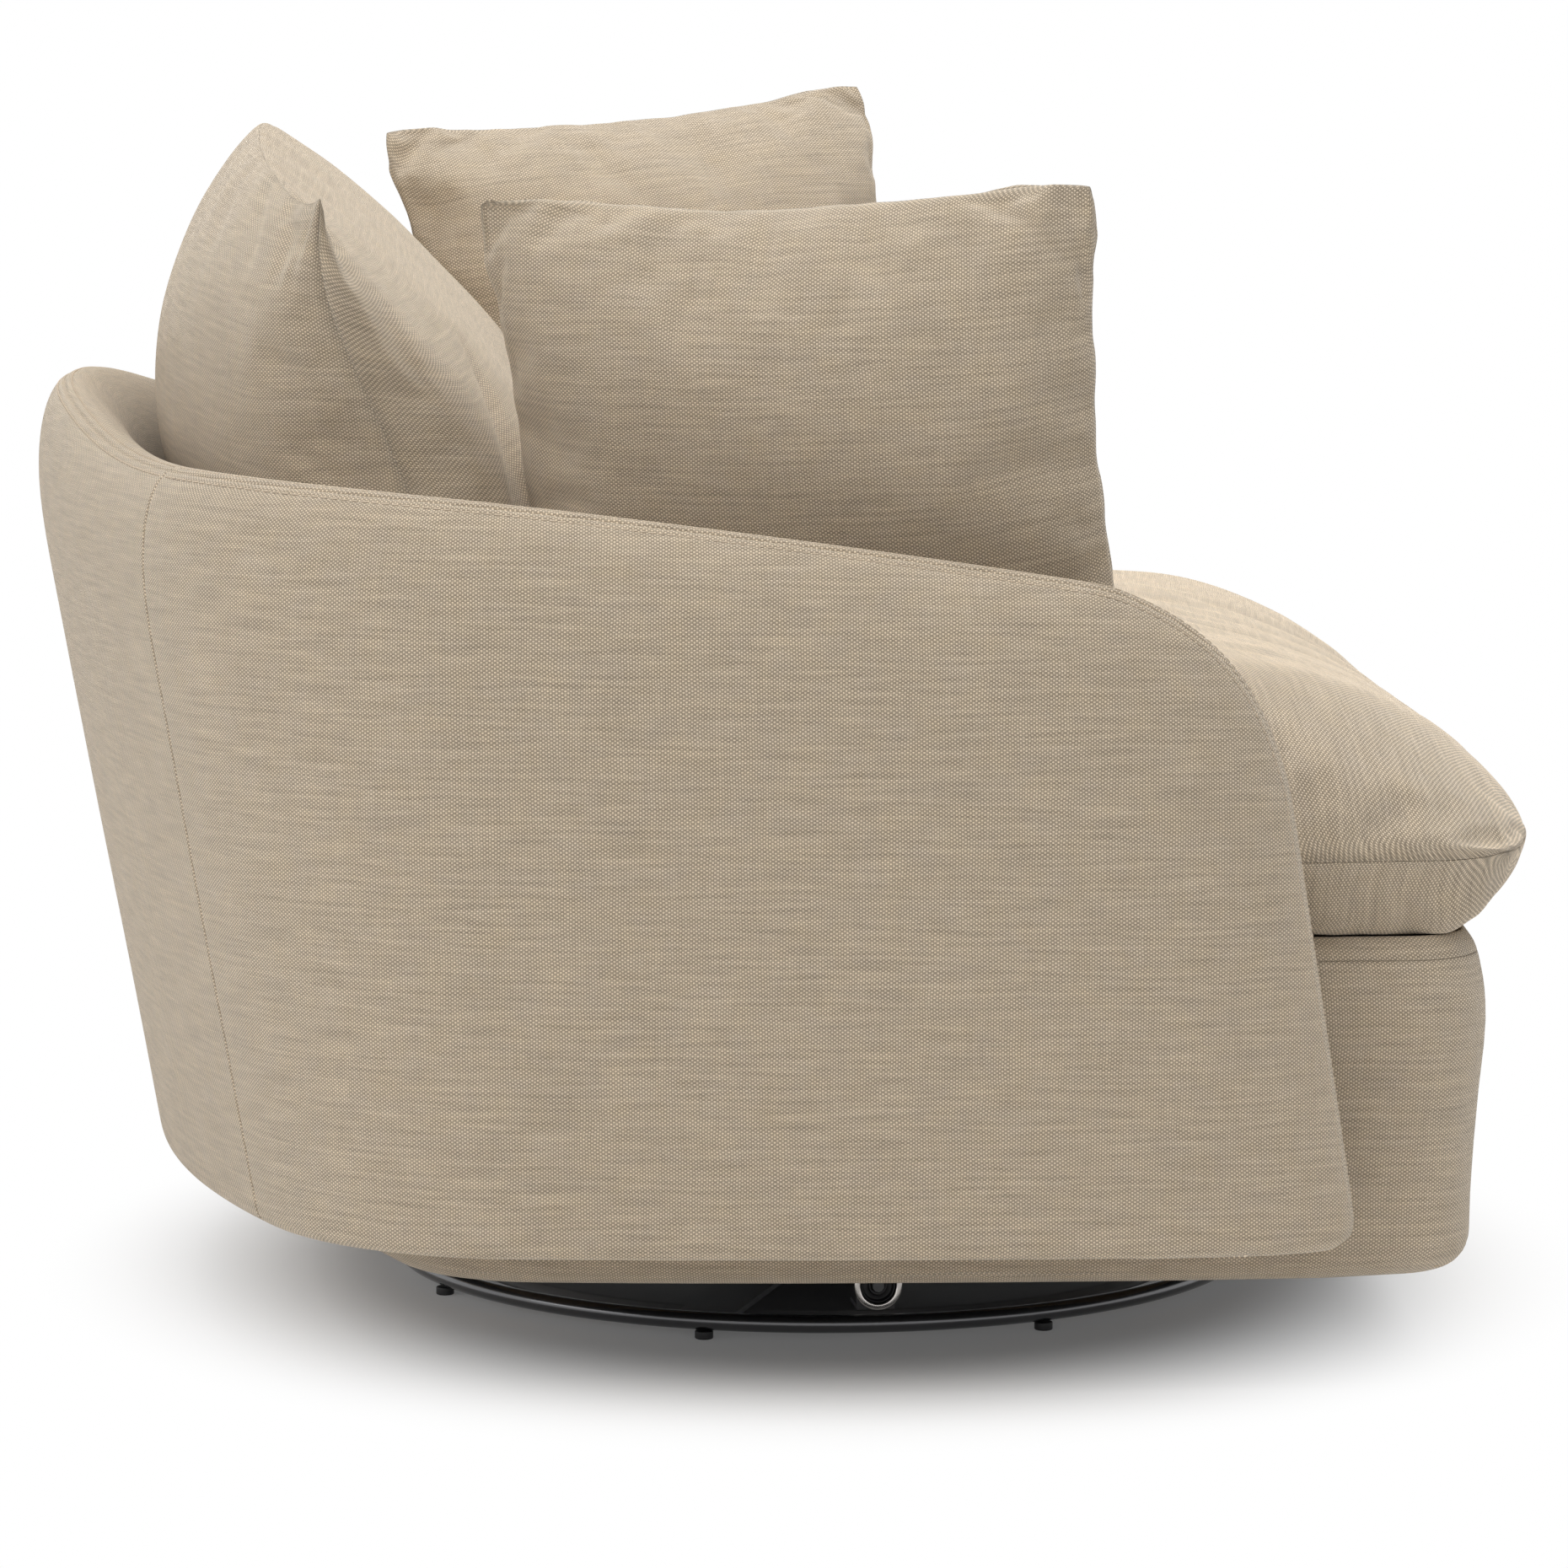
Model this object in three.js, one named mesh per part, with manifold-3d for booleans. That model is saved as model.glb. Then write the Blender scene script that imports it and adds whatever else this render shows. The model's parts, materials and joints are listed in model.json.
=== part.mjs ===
// Swivel cuddle chair: a wide upholstered tub on a low round swivel base.
// Millimetres, +Z up, the sitter faces -Y. The origin is on the floor under the middle of the chair.
import * as THREE from 'three';
import { mergeVertices } from 'three/addons/utils/BufferGeometryUtils.js';
import Module from 'manifold-3d';

const wasm = await Module();
wasm.setup();

// Gap between faces that touch, and the overrun of every cutting solid
const GAP = 0.3;
const OVERRUN = 12;

// Floor base: glides, round tube ring, cover plate and straps
const RING_RADIUS = 305;
const RING_TUBE = 12.4;
const GLIDE_HEIGHT = 5.7;
const GLIDE_DIAMETER = 12.6;
const GLIDE_COUNT = 8;
const BASE_TURN = THREE.MathUtils.degToRad(-18);
const PLATE_RADIUS = 269;
const PLATE_THICKNESS = 3;
const PLATE_LIP = 4;
const PLATE_TOP = 13;
const STRAP_WIDTH = 40;
const STRAP_THICKNESS = 4;
const STRAP_COUNT = 4;

// Pivot in the middle of the base
const BOLT_RADIUS = 8;
const BOLT_HEAD_RADIUS = 14;
const BOLT_HEAD_HEIGHT = 9;
const NUT_RADIUS = 13.5;
const NUT_HEIGHT = 7;
const BOSS_RADIUS = 45;
const BEARING_RADIUS = 40;
const BEARING_THICKNESS = 3;
const PIVOT_CLEARANCE = 0.3;

// Support rollers that carry the rim of the turntable
const ROLLER_COUNT = 4;
const ROLLER_TURN = THREE.MathUtils.degToRad(5.2);
const ROLLER_RADIUS = 16.5;
const ROLLER_WIDTH = 12;
const ROLLER_TRACK_RADIUS = 272;
const ROLLER_PLATE_CLEARANCE = 2.4;
const ROLLER_WALL = 4.2;
const AXLE_RADIUS = 4;
const BRACKET_THICKNESS = 3;
const BRACKET_WIDTH = 26;
const BRACKET_FOOT = 30;

// Turntable plate and the board that it is screwed to
const TURNTABLE_RADIUS = 282;
const TURNTABLE_THICKNESS = 4;
const BOARD_SIDE = 520;
const BOARD_THICKNESS = 25;
const BOARD_HOLE_RADIUS = 20;

// Tub wall: plan of its outer face at the foot, from the middle of the back round to the front
const BACK_FOOT = 475;
const BACK_RADIUS = 1060;
const BACK_HALF_ANGLE = THREE.MathUtils.degToRad(24);
const CORNER_RADIUS = 200;
const SIDE_START_ANGLE = THREE.MathUtils.degToRad(85);
const SIDE_RADIUS = 3700;
const SIDE_LENGTH = 540;
const WALL_FOOT = 107;
const WALL_THICKNESS = 82;
const RIM_ROLL_DEPTH = 105;
const BACK_LEAN = 0.178;
const SIDE_LEAN = 0.109;
const COVER_SEAM = 430;

// Heights of the rim along the wall
const RIM_BACK_HEIGHT = 642;
const RIM_CORNER_HEIGHT = 604;
const RIM_ARM_HEIGHT = 537;
const RIM_SHOULDER_HEIGHT = 404;
const RIM_STEEPENING = 1.25;
const ARM_TOP_SETBACK = 170;
const ARM_SHOULDER_SETBACK = 53;

// Timber and cavities inside the tub wall
const BACK_RAIL_THICKNESS = 45;
const BACK_RAIL_DEPTH = 70;
const BACK_POST_WIDTH = 60;
const BACK_POST_OFFSET = 310;
const ARM_PANEL_THICKNESS = 18;
const RIM_PADDING = 35;
const TIMBER_CLEARANCE = 0.8;
const ARM_PANEL_FRONT_SETBACK = 75;

// Seat plinth
const PLINTH_BOTTOM = 73;
const PLINTH_TOP = 296;
const PLINTH_FRONT = 428;
const PLINTH_FRONT_BOW = 12;
const PLINTH_CORNER_RADIUS = 60;
const PLINTH_ROUNDING = 16;
const PLINTH_PADDING = 18;
const RAIL_THICKNESS = 28;
const RAIL_TOP = 250;
const BEARER_SIZE = 45;
const BEARER_OFFSET = 150;
const DUST_COVER_THICKNESS = 1.6;
const REAR_RAIL_OFFSET = 300;

// Seat springs and deck
const SPRING_COUNT = 4;
const SPRING_WIRE = 4;
const SPRING_LOOPS = 10;
const SPRING_HALF_SPAN = 24;
const SPRING_PITCH = 170;
const SPRING_REST = 14;
const DECK_TOP = 298;

// Seat cushion
const SEAT_SEAM = 352;
const SEAT_CROWN = 122;
const SEAT_FRONT = 468;
const SEAT_FRONT_BOW = 22;
const SEAT_CORNER_RADIUS = 75;
const SEAT_FRONT_HALF_WIDTH = 470;
const SEAT_FRONT_ROLL = 200;
const SEAT_REAR_ROLL = 130;
const SEAT_SIDE_ROLL = 160;
const SEAT_UNDER_ROLL = 70;
const SOFT_CLEARANCE = 2.5;

// Back cushion
const BACK_CUSHION_TOP = 817;
const BACK_CUSHION_EAR = 774;
const BACK_CUSHION_BOTTOM = 440;
const BACK_CUSHION_HALF_WIDTH = 415;
const BACK_CUSHION_THICKNESS = 276;
const BACK_CUSHION_PLANE = 331;
const BACK_CUSHION_PLANE_HEIGHT = 575;
const BACK_CUSHION_LEAN = 0.27;
const BACK_CUSHION_WRAP_DEPTH = 58;
const BACK_CUSHION_TOP_ROLL = 240;
const BACK_CUSHION_BOTTOM_ROLL = 110;
const BACK_CUSHION_DRAW = 16;

// Scatter cushions
const SCATTER_WIDTH = 412;
const SCATTER_HEIGHT = 360;
const SCATTER_THICKNESS = 150;
const SCATTER_DRAW = 16;
const SOFT_GAP = 0.6;

// Where the scatter cushions lean: middles, measured from the swivel axis, and turns
const RIGHT_SCATTER_OUT = 418;
const RIGHT_SCATTER_BACK = 35;
const RIGHT_SCATTER_LEVEL = 607;
const RIGHT_SCATTER_YAW = THREE.MathUtils.degToRad(19);
const RIGHT_SCATTER_LEAN = THREE.MathUtils.degToRad(12);
const RIGHT_SCATTER_TILT = THREE.MathUtils.degToRad(2);
const LEFT_SCATTER_OUT = 392;
const LEFT_SCATTER_BACK = 101;
const LEFT_SCATTER_LEVEL = 650;
const LEFT_SCATTER_YAW = THREE.MathUtils.degToRad(22);
const LEFT_SCATTER_LEAN = THREE.MathUtils.degToRad(15);
const LEFT_SCATTER_TILT = THREE.MathUtils.degToRad(5);

// Levels that follow from the sizes above
const AXIS_Y = (SEAT_FRONT - BACK_FOOT - BACK_LEAN * (RIM_BACK_HEIGHT - RIM_ROLL_DEPTH - WALL_FOOT)) / 2;
const RING_LEVEL = GLIDE_HEIGHT + GAP + RING_TUBE / 2;
const PLATE_BOTTOM = PLATE_TOP - PLATE_THICKNESS;
const STRAP_LEVEL = PLATE_TOP + GAP;
const ROLLER_LEVEL = PLATE_TOP + ROLLER_PLATE_CLEARANCE + ROLLER_RADIUS;
const TURNTABLE_BOTTOM = ROLLER_LEVEL + ROLLER_RADIUS + GAP;
const TURNTABLE_TOP = TURNTABLE_BOTTOM + TURNTABLE_THICKNESS;
const BEARING_BOTTOM = TURNTABLE_BOTTOM - GAP - BEARING_THICKNESS;
const BOARD_BOTTOM = TURNTABLE_TOP + GAP;
const BOARD_TOP = BOARD_BOTTOM + BOARD_THICKNESS;
const RAIL_BOTTOM = Math.max(BOARD_TOP + GAP, PLINTH_BOTTOM + DUST_COVER_THICKNESS + GAP);
const SPRING_LEVEL = RAIL_TOP + GAP + SPRING_WIRE / 2;
const DECK_BOTTOM = SPRING_LEVEL + SPRING_WIRE / 2 + GAP;
const SEAT_UNDER = SEAT_SEAM - DECK_TOP - GAP;
const BACK_ARC = BACK_RADIUS * BACK_HALF_ANGLE;
const CORNER_ARC = CORNER_RADIUS * (SIDE_START_ANGLE - BACK_HALF_ANGLE);
const SIDE_BEGIN = BACK_ARC + CORNER_ARC;
const WALL_END = SIDE_BEGIN + SIDE_LENGTH;

// Finishes
const finishes = {
  fabric: new THREE.MeshStandardMaterial({ color: 0xb3a48d, roughness: 0.9, metalness: 0 }),
  blackSteel: new THREE.MeshStandardMaterial({ color: 0x161616, roughness: 0.3, metalness: 0.6 }),
  greyPlate: new THREE.MeshStandardMaterial({ color: 0x2e2e2e, roughness: 0.5, metalness: 0.3 }),
  brightSteel: new THREE.MeshStandardMaterial({ color: 0xc9c4bd, roughness: 0.25, metalness: 1 }),
  zincSteel: new THREE.MeshStandardMaterial({ color: 0x9a9b9c, roughness: 0.4, metalness: 0.9 }),
  nylon: new THREE.MeshStandardMaterial({ color: 0x1b1b1b, roughness: 0.5, metalness: 0 }),
  timber: new THREE.MeshStandardMaterial({ color: 0xc9a877, roughness: 0.7, metalness: 0 }),
  board: new THREE.MeshStandardMaterial({ color: 0xa98a5f, roughness: 0.8, metalness: 0 }),
  blackCloth: new THREE.MeshStandardMaterial({ color: 0x1d1d1d, roughness: 0.95, metalness: 0 }),
  deckCloth: new THREE.MeshStandardMaterial({ color: 0xa39682, roughness: 0.95, metalness: 0 }),
};

// Closed surface that shares the points that coincide
const WELD_STEPS = 2000;

class Skin {
  constructor() {
    this.points = [];
    this.faces = [];
    this.known = new Map();
  }

  point(place) {
    const key = place.toArray().map((value) => Math.round(value * WELD_STEPS)).join();
    if (!this.known.has(key)) {
      this.known.set(key, this.points.length);
      this.points.push(place);
    }
    return this.known.get(key);
  }

  triangle(a, b, c) {
    const [first, second, third] = [this.point(a), this.point(b), this.point(c)];
    if (first !== second && second !== third && third !== first) {
      this.faces.push(first, second, third);
    }
  }

  quad(a, b, c, d) {
    this.triangle(a, b, c);
    this.triangle(a, c, d);
  }

  geometry() {
    const geometry = new THREE.BufferGeometry();
    geometry.setAttribute(
      'position',
      new THREE.Float32BufferAttribute(this.points.flatMap((place) => place.toArray()), 3),
    );
    geometry.setIndex(this.faces);
    return geometry;
  }
}

// Solids for cutting and joining
function toSolid(geometry) {
  const bare = geometry.clone();
  bare.deleteAttribute('normal');
  bare.deleteAttribute('uv');
  const merged = mergeVertices(bare);
  return new wasm.Manifold(new wasm.Mesh({
    numProp: 3,
    vertProperties: new Float32Array(merged.attributes.position.array),
    triVerts: new Uint32Array(merged.index.array),
  }));
}

function toGeometry(solid) {
  const mesh = solid.getMesh();
  const geometry = new THREE.BufferGeometry();
  geometry.setAttribute('position', new THREE.BufferAttribute(mesh.vertProperties, mesh.numProp));
  geometry.setIndex(new THREE.BufferAttribute(mesh.triVerts, 1));
  return geometry;
}

function cut(geometry, ...tools) {
  return toGeometry(tools.reduce((solid, tool) => solid.subtract(toSolid(tool)), toSolid(geometry)));
}

function join(geometry, ...others) {
  return toGeometry(others.reduce((solid, other) => solid.add(toSolid(other)), toSolid(geometry)));
}

function common(geometry, other) {
  return toGeometry(toSolid(geometry).intersect(toSolid(other)));
}

// Plain shapes, each standing on its lowest level
function block(width, depth, low, high) {
  return new THREE.BoxGeometry(width, depth, high - low).translate(0, 0, (low + high) / 2);
}

function drum(radius, low, high, sides) {
  return new THREE.CylinderGeometry(radius, radius, high - low, sides)
    .rotateX(Math.PI / 2)
    .translate(0, 0, (low + high) / 2);
}

function washer(inner, outer, low, high, sides) {
  const corners = [[inner, low], [outer, low], [outer, high], [inner, high], [inner, low]];
  const outline = corners.map(([x, y]) => new THREE.Vector2(x, y));
  return new THREE.LatheGeometry(outline, sides).rotateX(Math.PI / 2);
}

function prism(outline, low, high) {
  const shape = new THREE.Shape(outline);
  return new THREE.ExtrudeGeometry(shape, { depth: high - low, bevelEnabled: false }).translate(0, 0, low);
}

// The assembly
const chair = new THREE.Group();
const aroundAxis = new THREE.Group();
aroundAxis.position.y = AXIS_Y;
chair.add(aroundAxis);

function place(name, geometry, finish, parent = aroundAxis) {
  const mesh = new THREE.Mesh(geometry, finish.clone());
  mesh.name = name;
  parent.add(mesh);
  return mesh;
}

// Group turned about the swivel axis, whose own -Y points outwards
function spoke(angle) {
  const group = new THREE.Group();
  group.rotation.z = angle;
  aroundAxis.add(group);
  return group;
}

// Floor base
const RING_STEPS = 48;
const RING_SIDES = 8;
const ROUND_SIDES = 20;

const floorRing = new THREE.TorusGeometry(RING_RADIUS, RING_TUBE / 2, RING_SIDES, RING_STEPS)
  .translate(0, 0, RING_LEVEL);
place('floor_ring', floorRing, finishes.blackSteel);

// The base may stand turned under the chair: its angles run from -X towards -Y
const fromRight = (angle) => -Math.PI / 2 + angle;

for (let i = 0; i < GLIDE_COUNT; i += 1) {
  const arm = spoke(fromRight(BASE_TURN + (i * 2 * Math.PI) / GLIDE_COUNT));
  const glide = drum(GLIDE_DIAMETER / 2, 0, GLIDE_HEIGHT, RING_SIDES * 2).translate(0, -RING_RADIUS, 0);
  place(`glide_${i + 1}`, glide, finishes.nylon, arm);
}

function plateOutline() {
  const lipRadius = PLATE_RADIUS - PLATE_LIP;
  return [
    [BOLT_RADIUS + PIVOT_CLEARANCE, PLATE_BOTTOM],
    [lipRadius - PLATE_THICKNESS, PLATE_BOTTOM],
    [PLATE_RADIUS - PLATE_THICKNESS, PLATE_BOTTOM - PLATE_LIP],
    [PLATE_RADIUS, PLATE_BOTTOM - PLATE_LIP],
    [PLATE_RADIUS, PLATE_TOP - PLATE_LIP],
    [lipRadius, PLATE_TOP],
    [BOLT_RADIUS + PIVOT_CLEARANCE, PLATE_TOP],
    [BOLT_RADIUS + PIVOT_CLEARANCE, PLATE_BOTTOM],
  ].map(([x, y]) => new THREE.Vector2(x, y));
}

const basePlate = new THREE.LatheGeometry(plateOutline(), RING_STEPS).rotateX(Math.PI / 2);
place('base_plate', basePlate, finishes.greyPlate);

for (let i = 0; i < STRAP_COUNT; i += 1) {
  const arm = spoke(fromRight(BASE_TURN + (i * 2 * Math.PI) / STRAP_COUNT));
  const inner = BOSS_RADIUS + GAP;
  const outer = (RING_RADIUS - RING_TUBE / 2) * Math.cos(Math.PI / RING_STEPS) - GAP;
  const strap = block(STRAP_WIDTH, outer - inner, STRAP_LEVEL, STRAP_LEVEL + STRAP_THICKNESS)
    .translate(0, -(inner + outer) / 2, 0);
  place(`base_strap_${i + 1}`, strap, finishes.greyPlate, arm);
}

// Pivot
place('pivot_boss', washer(
  BOLT_RADIUS + PIVOT_CLEARANCE, BOSS_RADIUS, STRAP_LEVEL, BEARING_BOTTOM - GAP, ROUND_SIDES,
), finishes.blackSteel);
place('thrust_bearing', washer(
  BOLT_RADIUS + PIVOT_CLEARANCE, BEARING_RADIUS, BEARING_BOTTOM, TURNTABLE_BOTTOM - GAP, ROUND_SIDES,
), finishes.nylon);

const nutTop = PLATE_BOTTOM - GAP;
const nutBottom = nutTop - NUT_HEIGHT;
place('pivot_nut', cut(
  drum(NUT_RADIUS, nutBottom, nutTop, 6),
  drum(BOLT_RADIUS + PIVOT_CLEARANCE, nutBottom - OVERRUN, nutTop + OVERRUN, ROUND_SIDES),
), finishes.zincSteel);
const boltHead = TURNTABLE_TOP + GAP;
place('pivot_bolt', join(
  drum(BOLT_RADIUS, nutBottom, boltHead + BOLT_HEAD_HEIGHT / 2, ROUND_SIDES),
  drum(BOLT_HEAD_RADIUS, boltHead, boltHead + BOLT_HEAD_HEIGHT, 6),
), finishes.zincSteel);

// Rollers on radial axles, with brackets on their inner side
const rollerInnerFace = ROLLER_TRACK_RADIUS - ROLLER_WIDTH / 2;
const rollerOuterFace = ROLLER_TRACK_RADIUS + ROLLER_WIDTH / 2;

// Turns a shape built along Z so that it lies along the spoke
function alongSpoke(geometry) {
  return geometry.rotateX(Math.PI / 2).translate(0, 0, ROLLER_LEVEL);
}

for (let i = 0; i < ROLLER_COUNT; i += 1) {
  const arm = spoke(fromRight(ROLLER_TURN + (i * 2 * Math.PI) / ROLLER_COUNT));
  const hubRadius = ROLLER_RADIUS - ROLLER_WALL;
  place(`roller_tyre_${i + 1}`, alongSpoke(washer(
    hubRadius, ROLLER_RADIUS, rollerInnerFace, rollerOuterFace, ROUND_SIDES,
  )), finishes.brightSteel, arm);
  place(`roller_hub_${i + 1}`, alongSpoke(washer(
    AXLE_RADIUS + GAP, hubRadius * Math.cos(Math.PI / ROUND_SIDES) - GAP,
    rollerInnerFace + ROLLER_WIDTH / 8, rollerOuterFace - ROLLER_WIDTH / 8, ROUND_SIDES,
  )), finishes.nylon, arm);
  const uprightOuter = rollerInnerFace - GAP;
  const uprightMiddle = uprightOuter - BRACKET_THICKNESS / 2;
  const uprightTop = ROLLER_LEVEL + AXLE_RADIUS * 2;
  const foot = block(BRACKET_WIDTH, BRACKET_FOOT, STRAP_LEVEL, STRAP_LEVEL + BRACKET_THICKNESS)
    .translate(0, -(uprightOuter - BRACKET_FOOT / 2), 0);
  const upright = block(BRACKET_WIDTH, BRACKET_THICKNESS, STRAP_LEVEL, uprightTop)
    .translate(0, -uprightMiddle, 0);
  const axle = alongSpoke(drum(AXLE_RADIUS, uprightMiddle, rollerOuterFace, ROUND_SIDES / 2));
  place(`roller_bracket_${i + 1}`, join(foot, upright, axle), finishes.greyPlate, arm);
}

// Turntable
place('turntable_plate', washer(
  BOLT_RADIUS + PIVOT_CLEARANCE, TURNTABLE_RADIUS, TURNTABLE_BOTTOM, TURNTABLE_TOP, RING_STEPS,
), finishes.zincSteel);
place('swivel_board', cut(
  block(BOARD_SIDE, BOARD_SIDE, BOARD_BOTTOM, BOARD_TOP),
  drum(BOARD_HOLE_RADIUS, BOARD_BOTTOM - OVERRUN, BOARD_TOP + OVERRUN, ROUND_SIDES),
), finishes.board);

// Facets of the tub's plan that every wall, rail and lining shares
const BACK_FACETS = 9;
const CORNER_FACETS = 8;
const SIDE_FACETS = 6;

const facetStations = [
  ...Array.from({ length: BACK_FACETS }, (_, i) => (BACK_ARC * i) / BACK_FACETS),
  ...Array.from({ length: CORNER_FACETS }, (_, i) => BACK_ARC + (CORNER_ARC * i) / CORNER_FACETS),
  ...Array.from({ length: SIDE_FACETS + 1 }, (_, i) => SIDE_BEGIN + (SIDE_LENGTH * i) / SIDE_FACETS),
];

// Place and outward direction on the three arcs, at a distance from the back's middle
function arcPlan(distance) {
  const arcs = [
    { radius: BACK_RADIUS, from: 0, to: BACK_HALF_ANGLE },
    { radius: CORNER_RADIUS, from: BACK_HALF_ANGLE, to: SIDE_START_ANGLE },
    { radius: SIDE_RADIUS, from: SIDE_START_ANGLE, to: Math.PI },
  ];
  const outward = (angle) => new THREE.Vector2(Math.sin(angle), Math.cos(angle));
  let corner = new THREE.Vector2(0, BACK_FOOT);
  let left = distance;
  for (const arc of arcs) {
    const centre = corner.clone().addScaledVector(outward(arc.from), -arc.radius);
    const angle = Math.min(arc.from + left / arc.radius, arc.to);
    corner = centre.addScaledVector(outward(angle), arc.radius);
    if (angle < arc.to) {
      return { place: corner, out: outward(angle) };
    }
    left -= arc.radius * (arc.to - arc.from);
  }
  return { place: corner, out: outward(Math.PI) };
}

// Faceted plan of the tub, mirrored for distances below zero
function planAt(along) {
  const side = along < 0 ? -1 : 1;
  const distance = Math.abs(along);
  const found = facetStations.findIndex((station) => station > distance);
  const next = found < 0 ? facetStations.length - 1 : found;
  const [a, b] = [facetStations[next - 1], facetStations[next]];
  const share = (distance - a) / (b - a);
  const place = arcPlan(a).place.lerp(arcPlan(b).place, share);
  const out = arcPlan(a).out.lerp(arcPlan(b).out, share);
  return { x: side * place.x, y: place.y, outX: side * out.x, outY: out.y };
}

// Both ends of a stretch of wall and the facet stations between them
function stationsBetween(from, to) {
  const all = [...facetStations.slice(1).reverse().map((station) => -station), ...facetStations];
  return [from, ...all.filter((station) => station > from + GAP && station < to - GAP), to];
}

// How far the wall leans out for each millimetre of height
function leanAt(along) {
  const turn = THREE.MathUtils.smoothstep(Math.abs(along), COVER_SEAM + OVERRUN, SIDE_BEGIN);
  return THREE.MathUtils.lerp(BACK_LEAN, SIDE_LEAN, turn);
}

// Point of the wall at an offset outwards from its middle surface
function wallPoint(along, height, out) {
  const plan = planAt(along);
  const offset = leanAt(along) * (height - WALL_FOOT) - WALL_THICKNESS / 2 + out;
  return new THREE.Vector3(plan.x + plan.outX * offset, plan.y + plan.outY * offset, height);
}

// Rim in distance along the wall and height
const SHOULDER_BEGIN = WALL_END - ARM_TOP_SETBACK;
const rimPath = new THREE.CurvePath();
const rimPoint = (along, height) => new THREE.Vector2(along, height);
const rimBack = rimPoint(0, RIM_BACK_HEIGHT);
const rimCorner = rimPoint(BACK_ARC, RIM_CORNER_HEIGHT);
const rimArm = rimPoint(SHOULDER_BEGIN, RIM_ARM_HEIGHT);
const rimShoulder = rimPoint(WALL_END - ARM_SHOULDER_SETBACK, RIM_SHOULDER_HEIGHT);
const rimFoot = rimPoint(WALL_END, WALL_FOOT);
const meanFall = (RIM_CORNER_HEIGHT - RIM_ARM_HEIGHT) / (SHOULDER_BEGIN - BACK_ARC);
const armFall = meanFall * RIM_STEEPENING;
rimPath.add(new THREE.CubicBezierCurve(
  rimBack,
  rimPoint(BACK_ARC * 0.5, RIM_BACK_HEIGHT),
  rimPoint(BACK_ARC * 0.6, RIM_CORNER_HEIGHT),
  rimCorner,
));
rimPath.add(new THREE.CubicBezierCurve(
  rimCorner,
  rimPoint(BACK_ARC + CORNER_ARC * 0.6, RIM_CORNER_HEIGHT),
  rimPoint(SHOULDER_BEGIN - SIDE_LENGTH / 5, RIM_ARM_HEIGHT + (armFall * SIDE_LENGTH) / 4),
  rimArm,
));
rimPath.add(new THREE.CubicBezierCurve(
  rimArm,
  rimPoint(SHOULDER_BEGIN + ARM_TOP_SETBACK * 0.4, RIM_ARM_HEIGHT - armFall * ARM_TOP_SETBACK),
  rimPoint(rimShoulder.x - ARM_SHOULDER_SETBACK / 3, RIM_SHOULDER_HEIGHT + ARM_TOP_SETBACK * 0.4),
  rimShoulder,
));
rimPath.add(new THREE.LineCurve(rimShoulder, rimFoot));
const RIM_SAMPLES = 80;
const rimSamples = rimPath.getPoints(RIM_SAMPLES);

function rimHeight(along) {
  const distance = Math.abs(along);
  const next = Math.max(1, rimSamples.findIndex((sample) => sample.x >= distance));
  const [a, b] = [rimSamples[next - 1], rimSamples[next]];
  return THREE.MathUtils.lerp(a.y, b.y, (distance - a.x) / (b.x - a.x));
}

function rimDistance(along, height) {
  const here = new THREE.Vector2(Math.abs(along), height);
  const stretch = new THREE.Line3();
  const nearest = new THREE.Vector3();
  const probe = new THREE.Vector3(here.x, here.y, 0);
  let best = Infinity;
  for (let i = 1; i < rimSamples.length; i += 1) {
    stretch.start.set(rimSamples[i - 1].x, rimSamples[i - 1].y, 0);
    stretch.end.set(rimSamples[i].x, rimSamples[i].y, 0);
    stretch.closestPointToPoint(probe, true, nearest);
    best = Math.min(best, nearest.distanceTo(probe));
  }
  return best;
}

// Highest point of the wall that keeps a distance from the rim
function insetHeight(along, inset) {
  let height = rimHeight(along) - inset;
  while (rimDistance(along, height) < inset - GAP) {
    height -= GAP;
  }
  return height;
}

// Half of the wall's thickness, which rounds off over the rim
function halfThickness(along, height) {
  const share = Math.min(1, rimDistance(along, height) / RIM_ROLL_DEPTH);
  return (WALL_THICKNESS / 2) * Math.sqrt(1 - (1 - share) ** 2);
}

// Rows below the rim as shares of the roll's depth
const ROW_SHARES = [0, 0.012, 0.05, 0.12, 0.24, 0.42, 0.68, 1];

// Wall between stations, each a point of the rim and the foot that it stands over
function wallForm(stations, grow) {
  const skin = new Skin();
  const columns = stations.map(({ rim, foot }) => {
    const base = new THREE.Vector2(foot, WALL_FOOT - grow);
    const length = rim.distanceTo(base);
    const reach = length > RIM_ROLL_DEPTH ? RIM_ROLL_DEPTH / length : 1;
    const levels = ROW_SHARES.map((share) => rim.clone().lerp(base, share * reach));
    levels.push(base);
    const lift = new THREE.Vector3(0, 0, grow);
    return levels.map((level, row) => {
      const half = row === 0 ? 0 : halfThickness(level.x, level.y) + grow;
      const raise = row === 0 ? lift : new THREE.Vector3();
      return [
        wallPoint(level.x, level.y, half).add(raise),
        wallPoint(level.x, level.y, -half).add(raise),
      ];
    });
  });
  const rows = columns[0].length;
  for (let i = 1; i < columns.length; i += 1) {
    const [here, next] = [columns[i - 1], columns[i]];
    for (let row = 1; row < rows; row += 1) {
      skin.quad(here[row - 1][0], next[row - 1][0], next[row][0], here[row][0]);
      skin.quad(next[row - 1][1], here[row - 1][1], here[row][1], next[row][1]);
    }
    skin.quad(here[rows - 1][0], next[rows - 1][0], next[rows - 1][1], here[rows - 1][1]);
  }
  const [first, last] = [columns[0], columns[columns.length - 1]];
  for (let row = 1; row < rows; row += 1) {
    skin.quad(first[row - 1][1], first[row - 1][0], first[row][0], first[row][1]);
    skin.quad(last[row - 1][0], last[row - 1][1], last[row][1], last[row][0]);
  }
  return skin.geometry();
}

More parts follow.
